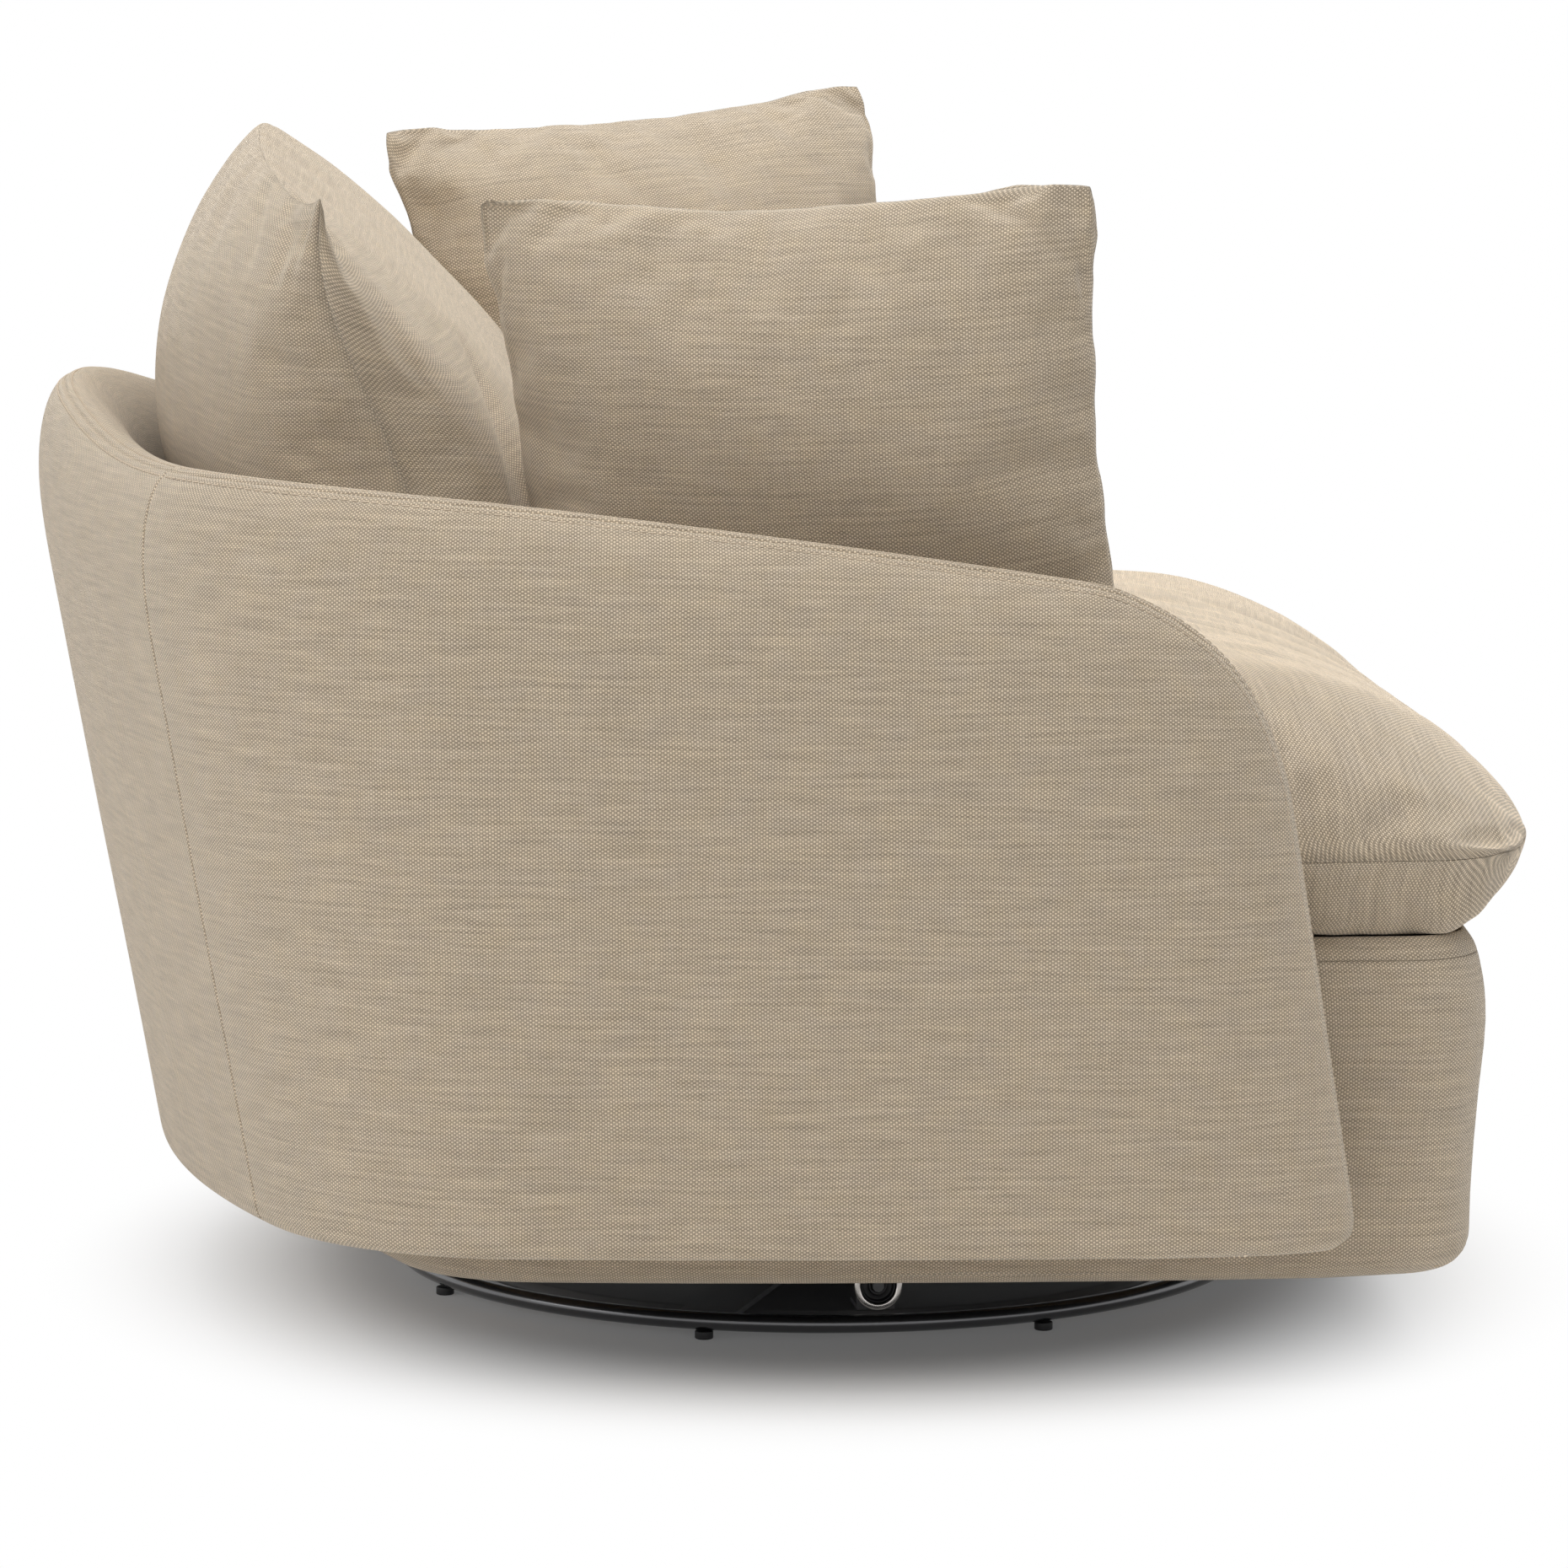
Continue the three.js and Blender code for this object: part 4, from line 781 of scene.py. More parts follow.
def roll(distance, over):
    return np.sin(math.pi / 2 * np.clip(distance / over, 0, 1))


def running_length(grid, axis):
    """Length along the grid's lines from their first points."""
    steps = np.linalg.norm(np.diff(grid, axis=axis), axis=-1)
    return np.insert(np.cumsum(steps, axis=axis), 0, 0, axis=axis)


def cloth_coordinates(grid):
    """Cloth coordinates of a panel: lengths along its two directions from its middle lines."""
    nu, nv = grid.shape[:2]
    across, along = running_length(grid, 0), running_length(grid, 1)
    across -= across[nu // 2][None]
    along -= along[:, nv // 2][:, None]
    return np.stack([across, along], -1)


def panel_cloth(top, bottom, offset):
    """Cloth coordinates of both panels, in the order of the cushion's face corners."""
    upper = cloth_coordinates(top) + offset
    lower = cloth_coordinates(bottom) + offset + UNDER_PANEL_SHIFT
    uvs = []
    for cells in grid_cells(*top.shape[:2]):
        uvs += [upper[c] for c in cells] + [lower[c] for c in cells[::-1]]
    return uvs


def panel_mesh(name, top, bottom, material, offset):
    """Closed cushion of two panels that share their edge points."""
    nu, nv = top.shape[:2]
    top_id = np.arange(nu * nv).reshape(nu, nv)
    bottom_id = np.zeros((nu, nv), int)
    edge = np.zeros((nu, nv), bool)
    edge[[0, -1]] = True
    edge[:, [0, -1]] = True
    bottom_id[edge] = top_id[edge]
    bottom_id[~edge] = nu * nv + np.arange((~edge).sum())
    points = np.vstack([top.reshape(-1, 3), bottom[~edge]])
    faces = []
    for cells in grid_cells(nu, nv):
        faces += [[top_id[c] for c in cells], [bottom_id[c] for c in cells[::-1]]]
    obj = make_object(name, points, faces, panel_cloth(top, bottom, offset), material)
    return obj, top_id, bottom_id, edge


def read_points(obj):
    co = np.zeros(len(obj.data.vertices) * 3)
    obj.data.vertices.foreach_get("co", co)
    return co.reshape(-1, 3)


def write_points(obj, co):
    obj.data.vertices.foreach_set("co", np.asarray(co, float).ravel())
    obj.data.update()


def mesh_edges(obj):
    edges = np.zeros(len(obj.data.edges) * 2, int)
    obj.data.edges.foreach_get("vertices", edges)
    return edges.reshape(-1, 2)


def neighbour_means(edges, values):
    """Mean of the neighbouring points' values at each point."""
    ends = np.r_[edges[:, 0], edges[:, 1]]
    others = values[np.r_[edges[:, 1], edges[:, 0]]]
    count = np.bincount(ends, minlength=len(values))
    total = [np.bincount(ends, weights=others[:, k], minlength=len(values)) for k in range(values.shape[1])]
    return np.stack(total, -1) / count[:, None]


def inflate(obj, seam, settings, spare=1.0):
    """Fills the cushion by cloth simulation with its seam held, and keeps the creases that this makes."""
    before = read_points(obj)
    held = obj.vertex_groups.new(name="Seam")
    held.add([int(i) for i in seam], 1.0, "REPLACE")
    modifier = obj.modifiers.new("Cloth", "CLOTH")
    cloth = modifier.settings
    cloth.quality = 6
    cloth.mass = 0.25
    cloth.vertex_group_mass = "Seam"
    cloth.tension_stiffness = cloth.compression_stiffness = 18
    cloth.shear_stiffness = 6
    cloth.bending_stiffness = settings.stiffness
    cloth.use_pressure = True
    cloth.uniform_pressure_force = settings.pressure
    cloth.shrink_min = -settings.spare_cloth * spare
    cloth.effector_weights.gravity = 0
    modifier.collision_settings.use_collision = False
    modifier.collision_settings.use_self_collision = False
    modifier.point_cache.frame_end = settings.frames
    scene = bpy.context.scene
    for number in range(1, settings.frames + 1):
        scene.frame_set(number)
    graph = bpy.context.evaluated_depsgraph_get()
    after = read_points(obj.evaluated_get(graph))
    obj.modifiers.clear()
    obj.vertex_groups.clear()
    scene.frame_set(1)
    move = after - before
    move[seam] = 0
    edges = mesh_edges(obj)
    swell = move.copy()
    for _ in range(60):
        swell = neighbour_means(edges, swell)
        swell[seam] = 0
    fine = move - swell
    size = np.linalg.norm(fine, axis=1, keepdims=True)
    fine *= settings.crease_limit * np.tanh(size / settings.crease_limit) / np.maximum(size, 1e-9)
    write_points(obj, before + fine + settings.swell_kept * swell)


def push_clear(obj, neighbours, clearance, floor):
    """Moves the points of a cushion out of its neighbours, and softens the dents that this makes."""
    co = read_points(obj)
    edges = mesh_edges(obj)
    graph = bpy.context.evaluated_depsgraph_get()
    trees = [BVHTree.FromObject(n, graph) for n in neighbours]
    moved = np.zeros(len(co), bool)
    passes, reach = 3, 0.12
    for step in range(passes + 1):
        for tree in trees:
            for i, p in enumerate(co):
                place, normal, _, gap = tree.find_nearest(Vector(p), reach)
                if place is None:
                    continue
                out = (Vector(p) - place).dot(normal)
                if out < 0 or gap < clearance:
                    co[i] = place + normal * clearance
                    moved[i] = True
        if floor is not None:
            co[:, 2] = np.maximum(co[:, 2], floor)
        if step == passes:
            break
        near = moved.copy()
        for _ in range(2):
            near[edges[near[edges[:, 0]] | near[edges[:, 1]]].ravel()] = True
        co[near] = 0.5 * co[near] + 0.5 * neighbour_means(edges, co)[near]
    write_points(obj, co)


def finish_cushion(obj, shape, offset, settings):
    """Renews the cloth coordinates from the filled form, smooths it and sinks its seam."""
    top_id, bottom_id, edge = shape
    co = read_points(obj)
    mesh = obj.data
    uvs = panel_cloth(co[top_id], co[bottom_id], offset)
    mesh.uv_layers["Cloth"].data.foreach_set("uv", np.array(uvs, np.float32).ravel())
    on_seam = np.zeros(len(co), np.float32)
    on_seam[top_id[edge]] = 1.0
    mesh.attributes.new("seam", "FLOAT", "POINT").data.foreach_set("value", on_seam)
    subdivide(obj)
    sink_seam(obj, settings)


def sink_seam(obj, settings):
    """Turns the seam edges into a narrow groove."""
    bm = bmesh.new()
    bm.from_mesh(obj.data)
    layer = bm.verts.layers.float["seam"]
    seam = [e for e in bm.edges if all(v[layer] > 0.95 for v in e.verts)]
    made = bmesh.ops.bevel(bm, geom=seam, offset=settings.seam_width, segments=2, profile=0.5,
                           affect="EDGES", loop_slide=True, clamp_overlap=True)
    strip = set(made["faces"])
    bm.normal_update()
    middle = [v for v in made["verts"] if v.link_faces and all(f in strip for f in v.link_faces)]
    moves = [(v, v.co - v.normal * settings.seam_pinch) for v in middle]
    for v, place in moves:
        v.co = place
    for f in bm.faces:
        f.smooth = True
    bm.to_mesh(obj.data)
    bm.free()
    obj.data.attributes.remove(obj.data.attributes["seam"])


def seat_edges(count_u, count_v):
    """The four edges of the seat cushion's plan, from the swivel axis."""
    drawn = WALL_THICKNESS + 0.0025 + 0.003  # clear of the wall, with room for the filled edge

    def inside_at(s):
        place, outward, _ = plan(np.asarray(s, float))
        return place + outward * (lean_at(s) * (SEAT_SEAM - WALL_FOOT) - drawn)[..., None]

    rear_corner = BACK_ARC + CORNER_ARC / 2
    side_end = WALL_END - ARM_TOP_SETBACK
    bite = SEAT_CORNER * (1 - math.sqrt(0.5))
    corner = np.array([SEAT_HALF_WIDTH - bite, -(SEAT_FRONT - SEAT_BOW) + bite])
    marks = [corner, (SEAT_HALF_WIDTH, -(SEAT_FRONT - SEAT_BOW - SEAT_CORNER))]
    marks += [inside_at(np.array([d]))[0] for d in
              (side_end, (side_end + SIDE_BEGIN) / 2, SIDE_BEGIN, BACK_ARC + CORNER_ARC * 0.75, rear_corner)]
    right = catmull(marks, 400)
    share = np.linspace(-1, 1, 400)
    front = np.stack([corner[0] * share, -(SEAT_FRONT - SEAT_BOW) - SEAT_BOW * (1 - share ** 2)
                      + bite * np.abs(share) ** 9], -1)
    rear = inside_at(share * rear_corner)
    u, v = spaced(count_u), spaced(count_v)
    return (at_shares(front, u), at_shares(rear, u),
            at_shares(right * (-1, 1), v), at_shares(right, v))


def seat_cushion(settings, material):
    """Deep seat cushion, knife-edged, crowned above and below its seam."""
    nu, nv = 84, 76
    flat = coons(*seat_edges(nu, nv))
    u, v = spaced(nu)[:, None], spaced(nv)[None]
    width, depth = 2 * SEAT_HALF_WIDTH, SEAT_FRONT + BACK_FOOT - WALL_THICKNESS

    def fill(side, front, rear, side_power, front_power):
        across = roll(np.minimum(u, 1 - u) * width, side) ** side_power
        return across * roll(v * depth, front) ** front_power * roll((1 - v) * depth, rear) ** 0.9

    x, y = flat[..., 0], flat[..., 1] + AXIS_Y
    under = SEAT_SEAM - DECK_TOP - 0.001
    top = np.dstack([x, y, SEAT_SEAM + SEAT_CROWN * fill(0.15, 0.205, 0.14, 0.66, 0.8)])
    bottom = np.dstack([x, y, SEAT_SEAM - under * fill(0.024, 0.07, 0.07, 0.5, 0.8)])
    offset = np.array([0.13, 0.05])
    obj, *shape = panel_mesh("seat_cushion_pad", top, bottom, material, offset)
    inflate(obj, shape[0][shape[2]], settings)
    return obj, shape, offset


def back_cushion(settings, material):
    """Tall back cushion with ears at its top corners, of which the right one stands higher."""
    nu, nv = 84, 72
    share = np.linspace(-1, 1, 400)
    draw, fall = 0.016, BACK_TOP - BACK_EAR + 0.016

    def side_at(v):
        return BACK_HALF_WIDTH - 0.004 - draw * np.sin(math.pi * v) + 0.006 * np.exp(-((1 - v) / 0.05) ** 2)

    left_ear, right_ear = 0.006, 0.021
    ear = np.where(share > 0, left_ear, right_ear)
    top_at = BACK_TOP - fall * np.abs(share) ** 1.9 + ear * np.abs(share) ** 13
    v = np.linspace(0, 1, 400)
    front = np.stack([share * side_at(0), np.full(400, BACK_BOTTOM + 0.004)], -1)
    rear = np.stack([share * side_at(1), top_at], -1)
    sides = [np.stack([way * side_at(v), BACK_BOTTOM + 0.004 + (high - BACK_BOTTOM - 0.004) * v], -1)
             for way, high in ((-1, top_at[0]), (1, top_at[-1]))]
    us, vs = spaced(nu), spaced(nv)
    flat = coons(at_shares(front, us), at_shares(rear, us), *(at_shares(side, vs) for side in sides))
    x, z = flat[..., 0], flat[..., 1]
    wide = np.abs(x) / BACK_HALF_WIDTH
    middle = (BACK_PLANE + BACK_LEAN_CUSHION * (z - BACK_PLANE_HEIGHT)
              - BACK_WRAP * wide ** (2 + 2 * smoothstep(z, 0.64, 0.74))
              + BACK_SIDE_BOW * wide ** 5 * np.exp(-((z - BACK_SIDE_BOW_HEIGHT) / 0.09) ** 2))
    su = 2 * us[:, None] - 1
    ceiling = np.interp(su, share, top_at)
    plump = np.array([[noise.noise(Vector((a * 9, 4.0, b * 9))) for a, b in row] for row in flat])
    half = ((BACK_THICKNESS - 0.02) / 2 * (1 - np.abs(su) ** 4) ** 0.38
            * roll(ceiling - z, 0.235) ** 0.8 * roll(z - BACK_BOTTOM, 0.11) ** 0.8) * (1 + 0.03 * plump)
    half[[0, -1]] = 0
    half[:, [0, -1]] = 0
    top = np.dstack([x, middle - half + AXIS_Y, z])
    bottom = np.dstack([x, middle + half + AXIS_Y, z])
    offset = np.array([0.4, 0.9])
    obj, *shape = panel_mesh("back_cushion_pad", top, bottom, material, offset)
    inflate(obj, shape[0][shape[2]], settings, 0.5)
    return obj, shape, offset


def scatter_cushion(name, where, settings, material):
    """Knife-edged scatter cushion, leaning out on its arm."""
    nu, nv = 62, 56
    width, height = SCATTER_SIZE
    draw = 0.013
    t = np.linspace(0, 1, 400)
    blunt = 0.005
    reach = np.array([width, height]) / 2 - 0.002 - blunt

    def edge(a, b, number):
        """Edge from corner a to corner b, drawn in at its middle and a little wavy."""
        a, b = np.array(a) * reach, np.array(b) * reach
        outward = (a + b) / np.linalg.norm(a + b)
        wave = np.array([noise.noise(Vector((k * 4.3, number * 2.3, where["seed"]))) for k in t])
        push = blunt * (1 - np.abs(2 * t - 1) ** 14) + (0.0045 * wave - draw) * np.sin(math.pi * t)
        return a + (b - a) * t[:, None] + outward * push[:, None]

    us, vs = spaced(nu), spaced(nv)
    flat = coons(at_shares(edge((-1, -1), (1, -1), 0), us), at_shares(edge((-1, 1), (1, 1), 1), us),
                 at_shares(edge((-1, -1), (-1, 1), 2), vs), at_shares(edge((1, -1), (1, 1), 3), vs))
    u, v = us[:, None], vs[None]
    half = (SCATTER_THICKNESS - 0.02) / 2 * np.clip(16 * u * (1 - u) * v * (1 - v), 0, None) ** 0.55
    upright = Matrix(((0, 0, -1), (-1, 0, 0), (0, 1, 0)))

    def turned(key, axis):
        return Matrix.Rotation(math.radians(where[key]), 3, axis)

    matrix = np.array(turned("yaw", "Z") @ turned("lean", "Y") @ upright @ turned("tilt", "Z"))
    move = np.array(where["middle"]) + (0, AXIS_Y, 0)
    wave = np.array([[noise.noise(Vector((a * 14, b * 14, where["seed"]))) for a, b in row] for row in flat])
    top = np.dstack([flat, half + 0.004 * wave]) @ matrix.T + move
    bottom = np.dstack([flat, -half + 0.004 * wave]) @ matrix.T + move
    offset = np.array([1.3 + where["seed"], 0.2])
    obj, *shape = panel_mesh(name, top, bottom, material, offset)
    inflate(obj, shape[0][shape[2]], settings, 1.4)
    return obj, shape, offset


# ---------------------------------------------------------------- shader helpers
def new_material(name, build):
    """Material whose nodes are made by build(tree, shader)."""
    material = bpy.data.materials.get(name)
    if material:
        return material
    material = bpy.data.materials.new(name)
    material.use_nodes = True
    tree = material.node_tree
    build(tree, tree.nodes["Principled BSDF"])
    return material


def node(tree, kind, values=(), **settings):
    """New node with its settings, and its sockets linked or set; a colour may leave out its alpha."""
    made = tree.nodes.new(kind)
    for key, value in settings.items():
        setattr(made, key, value)
    for key, value in dict(values).items():
        socket = made.inputs[key]
        if isinstance(value, bpy.types.NodeSocket):
            tree.links.new(value, socket)
        elif socket.type == "RGBA" and len(value) == 3:
            socket.default_value = (*value, 1)
        else:
            socket.default_value = value
    return made


def math_node(tree, operation, *values):
    return node(tree, "ShaderNodeMath", enumerate(values), operation=operation).outputs[0]


def vector_math(tree, operation, *values):
    return node(tree, "ShaderNodeVectorMath", enumerate(values), operation=operation).outputs


def mix_colour(tree, share, a, b, blend="MIX"):
    return node(tree, "ShaderNodeMix", {0: share, 6: a, 7: b}, data_type="RGBA", blend_type=blend).outputs[2]


def noise_node(tree, place, scale, detail, **more):
    values = {"Vector": place, "Scale": scale, "Detail": detail, **more}
    return node(tree, "ShaderNodeTexNoise", values).outputs


def grey_of(tree, value):
    return node(tree, "ShaderNodeCombineXYZ", {0: value, 1: value, 2: value}).outputs[0]


def group(name, inputs, outputs, build):
    """Shader node group with named sockets, made once."""
    found = bpy.data.node_groups.get(name)
    if found:
        return found
    tree = bpy.data.node_groups.new(name, "ShaderNodeTree")
    for label, kind, default in inputs:
        socket = tree.interface.new_socket(label, in_out="INPUT", socket_type="NodeSocket" + kind)
        if default is not None:
            socket.default_value = default
    for label, kind in outputs:
        tree.interface.new_socket(label, in_out="OUTPUT", socket_type="NodeSocket" + kind)
    source = tree.nodes.new("NodeGroupInput")
    sink = tree.nodes.new("NodeGroupOutput")
    for label, socket in build(tree, source.outputs).items():
        tree.links.new(socket, sink.inputs[label])
    return tree


def use_group(tree, tree_group, values):
    return node(tree, "ShaderNodeGroup", values, node_tree=tree_group).outputs


def plain_weave():
    """Plain weave of thick uneven yarns, from cloth coordinates in metres; the yarns across are darker."""
    def build(tree, given):
        calc, mix = partial(math_node, tree), partial(mix_colour, tree)

        def centred(value):
            return calc("SUBTRACT", value, 0.5)

        scaled = vector_math(tree, "DIVIDE", given["Vector"], given["Yarn pitch"])[0]
        # Slow wander, so that the yarns aren't ruled lines
        wander = noise_node(tree, given["Vector"], 38.0, 2.0)["Color"]
        moved = vector_math(tree, "SUBTRACT", wander, (0.5, 0.5, 0.5))[0]
        bent = vector_math(tree, "MULTIPLY_ADD", moved, (1.6, 1.6, 0), scaled)[0]
        u, v, _ = node(tree, "ShaderNodeSeparateXYZ", {0: bent}).outputs
        cu, cv = calc("FLOOR", u), calc("FLOOR", v)
        # The offset keeps the count of cells positive
        over = calc("GREATER_THAN", calc("MODULO", calc("ADD", calc("ADD", cu, cv), 20000.0), 2.0), 0.5)
        under = calc("SUBTRACT", 1.0, over)

        def yarn(place, cell):
            return calc("COSINE", calc("MULTIPLY", centred(calc("SUBTRACT", place, cell)), math.pi * 0.92))

        hu, hv = yarn(u, cu), yarn(v, cv)
        warp = calc("MULTIPLY", hu, calc("POWER", hv, 0.45))
        weft = calc("MULTIPLY", hv, calc("POWER", hu, 0.45))
        height = calc("ADD", calc("MULTIPLY", over, warp), calc("MULTIPLY", under, weft))

        def slub(along, across, stretch, depth):
            """Shade of each yarn, which changes slowly along it"""
            place = node(tree, "ShaderNodeCombineXYZ", {
                0: calc("MULTIPLY", along, stretch), 1: calc("MULTIPLY", across, 0.41), 2: depth}).outputs[0]
            return centred(noise_node(tree, place, 1.0, 3.0)["Fac"])

        weft_shade, warp_shade = slub(u, cv, 0.034, 0.0), slub(v, cu, 0.05, 7.0)
        mixed = calc("ADD", weft_shade, calc("MULTIPLY", warp_shade, 0.3))
        shade = calc("MULTIPLY_ADD", mixed, given["Slub"], calc("MULTIPLY_ADD", over, 0.60, 0.58))
        cloud = noise_node(tree, given["Vector"], 52.0, 3.0)["Fac"]
        tint = calc("MULTIPLY_ADD", centred(cloud), 1.1, 0.42)
        tint = calc("MINIMUM", calc("MAXIMUM", tint, 0.0), 1.0)
        fibre = noise_node(tree, scaled, 3.4, 2.0)["Fac"]
        shade = calc("MULTIPLY", shade, calc("MULTIPLY_ADD", centred(fibre), 0.5, 1.0))
        upper = mix(tint, given["Light yarn"], given["Cool yarn"])
        upper = mix(1.0, upper, grey_of(tree, shade), "MULTIPLY")
        body = calc("POWER", calc("MAXIMUM", height, 0.0), 0.8)
        return {"Color": mix(body, given["Dark yarn"], upper),
                "Height": calc("ADD", height, calc("MULTIPLY", fibre, 0.3))}

    return group("Plain weave", [
        ("Vector", "Vector", None),
        ("Yarn pitch", "Vector", (0.0017, 0.0012, 0.0012)),
        ("Slub", "Float", 0.3),
        ("Light yarn", "Color", (0.5, 0.4, 0.3, 1)),
        ("Cool yarn", "Color", (0.5, 0.4, 0.3, 1)),
        ("Dark yarn", "Color", (0.2, 0.2, 0.1, 1)),
    ], [("Color", "Color"), ("Height", "Float")], build)


def soft_wear():
    """Slow mottling and fine dust for smooth finishes."""
    def build(tree, given):
        calc, mix = partial(math_node, tree), partial(mix_colour, tree)
        slow = noise_node(tree, given["Vector"], 14.0, 4.0)["Fac"]
        fine = noise_node(tree, given["Vector"], 900.0, 2.0)["Fac"]
        mottle = calc("MULTIPLY_ADD", calc("SUBTRACT", slow, 0.5), given["Amount"], 1.0)
        colour = mix(1.0, given["Color"], grey_of(tree, mottle), "MULTIPLY")
        dust = calc("MULTIPLY", calc("POWER", fine, 3.0), given["Dust"])
        return {"Color": mix(dust, colour, (0.5, 0.48, 0.45)),
                "Roughness": calc("MULTIPLY_ADD", slow, given["Roughness spread"], given["Roughness"]),
                "Height": fine}

    return group("Soft wear", [
        ("Vector", "Vector", None),
        ("Color", "Color", (0.5, 0.5, 0.5, 1)),
        ("Amount", "Float", 0.2),
        ("Dust", "Float", 0.0),
        ("Roughness", "Float", 0.4),
        ("Roughness spread", "Float", 0.1),
    ], [("Color", "Color"), ("Roughness", "Float"), ("Height", "Float")], build)


def timber_grain():
    """Straight sawn grain along one direction."""
    def build(tree, given):
        stretched = vector_math(tree, "MULTIPLY", given["Vector"], (6.0, 90.0, 90.0))[0]
        rings = noise_node(tree, stretched, 1.0, 6.0, Distortion=0.6)["Fac"]
        return {"Color": mix_colour(tree, rings, given["Dark"], given["Light"]), "Height": rings}

    return group("Timber grain", [
        ("Vector", "Vector", None),
        ("Light", "Color", (0.6, 0.45, 0.27, 1)),
        ("Dark", "Color", (0.36, 0.24, 0.13, 1)),
    ], [("Color", "Color"), ("Height", "Float")], build)


def object_place(tree):
    return node(tree, "ShaderNodeTexCoord").outputs["Object"]


def bump_into(tree, shader, height, distance):
    bump = node(tree, "ShaderNodeBump", {"Height": height, "Distance": distance})
    tree.links.new(bump.outputs[0], shader.inputs["Normal"])


def cover_cloth(settings, name="Cover cloth", painted_sheen=1.0):
    """Beige woven cover cloth with light and dark yarns, and a painted sheen: its colour is made paler where
    the cloth turns away, more strongly on some pieces than on others.
    """
    def build(tree, shader):
        cloth = node(tree, "ShaderNodeUVMap", uv_map="Cloth").outputs[0]
        weave = use_group(tree, plain_weave(), {
            "Vector": cloth, "Slub": 0.72,
            "Yarn pitch": (settings.warp_pitch, settings.weft_pitch, settings.weft_pitch),
            "Light yarn": tuple(settings.light_yarn), "Cool yarn": tuple(settings.cool_yarn),
            "Dark yarn": tuple(settings.dark_yarn)})
        # Painted sheen: the base colour is made paler where the cloth turns away from the view, by the Layer
        # Weight's facing
        facing = node(tree, "ShaderNodeLayerWeight", {"Blend": 0.5}).outputs["Facing"]
        gain = math_node(tree, "MULTIPLY_ADD", math_node(tree, "POWER", facing, 4.0), settings.painted_sheen * painted_sheen, 1.0)
        paler = mix_colour(tree, 1.0, weave["Color"], grey_of(tree, gain), "MULTIPLY")
        tree.links.new(paler, shader.inputs["Base Color"])
        shader.inputs["Roughness"].default_value = 0.88
        shader.inputs["Specular IOR Level"].default_value = 0.25
        shader.inputs["Sheen Weight"].default_value = 0.45
        shader.inputs["Sheen Roughness"].default_value = 0.45
        shader.inputs["Sheen Tint"].default_value = (1.0, 0.95, 0.88, 1)
        bump_into(tree, shader, weave["Height"], settings.bump)
    return new_material(name, build)


def lining_cloth(name, light, dark, pitch):
    """Plain lining or non-woven cloth, woven by place in the object."""
    def build(tree, shader):
        weave = use_group(tree, plain_weave(), {
            "Vector": object_place(tree), "Yarn pitch": (pitch,) * 3, "Slub": 0.2,
            "Light yarn": light, "Cool yarn": light, "Dark yarn": dark})
        tree.links.new(weave["Color"], shader.inputs["Base Color"])
        shader.inputs["Roughness"].default_value = 0.92
        bump_into(tree, shader, weave["Height"], 0.0002)
    return new_material(name, build)


def smooth_finish(name, colour, rough, spread, metallic=0.0, coat=0.0, amount=0.2, dust=0.0, bump=0.0):
    """Painted, plated or moulded finish with slow mottling."""
    def build(tree, shader):
        wear = use_group(tree, soft_wear(), {
            "Vector": object_place(tree), "Color": colour, "Amount": amount,
            "Dust": dust, "Roughness": rough, "Roughness spread": spread})
        tree.links.new(wear["Color"], shader.inputs["Base Color"])
        tree.links.new(wear["Roughness"], shader.inputs["Roughness"])
        shader.inputs["Metallic"].default_value = metallic
        shader.inputs["Coat Weight"].default_value = coat
        shader.inputs["Coat Roughness"].default_value = 0.08
        if bump:
            bump_into(tree, shader, wear["Height"], bump)
    return new_material(name, build)


def timber(name, light, dark):
    """Sawn timber or board."""
    def build(tree, shader):
        grain = use_group(tree, timber_grain(), {"Vector": object_place(tree), "Light": light, "Dark": dark})
        tree.links.new(grain["Color"], shader.inputs["Base Color"])
        shader.inputs["Roughness"].default_value = 0.75
        bump_into(tree, shader, grain["Height"], 0.0003)
    return new_material(name, build)


# Finishes that more than one step uses
def sewing_thread():
    return smooth_finish("Sewing thread", (0.54, 0.44, 0.33), 0.6, 0.1, amount=0.3)


# Painted light: this grey is lighter than the paint's own colour, standing in for light that doesn't reach
# the base under the chair
def grey_paint_with_painted_light():
    return smooth_finish("Dark grey paint", (0.19, 0.19, 0.195), 0.42, 0.12,
                         amount=0.3, dust=0.03, bump=0.00006)


def bright_steel():
    return smooth_finish("Bright steel", (0.78, 0.74, 0.70), 0.16, 0.14, metallic=1.0, amount=0.15)


def black_nylon():
    return smooth_finish("Moulded black nylon", (0.016, 0.016, 0.017), 0.38, 0.12, amount=0.2, dust=0.03)


def black_dust_cloth():
    return lining_cloth("Black non-woven cloth", (0.03, 0.03, 0.03), (0.012, 0.012, 0.012), 0.0007)


# ---------------------------------------------------------------- operators
def settings_of(context):
    return context.scene.cuddle_chair


def stand_for(piece, cad, body):
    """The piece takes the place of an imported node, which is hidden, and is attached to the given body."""
    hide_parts(cad)
    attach(piece, body)


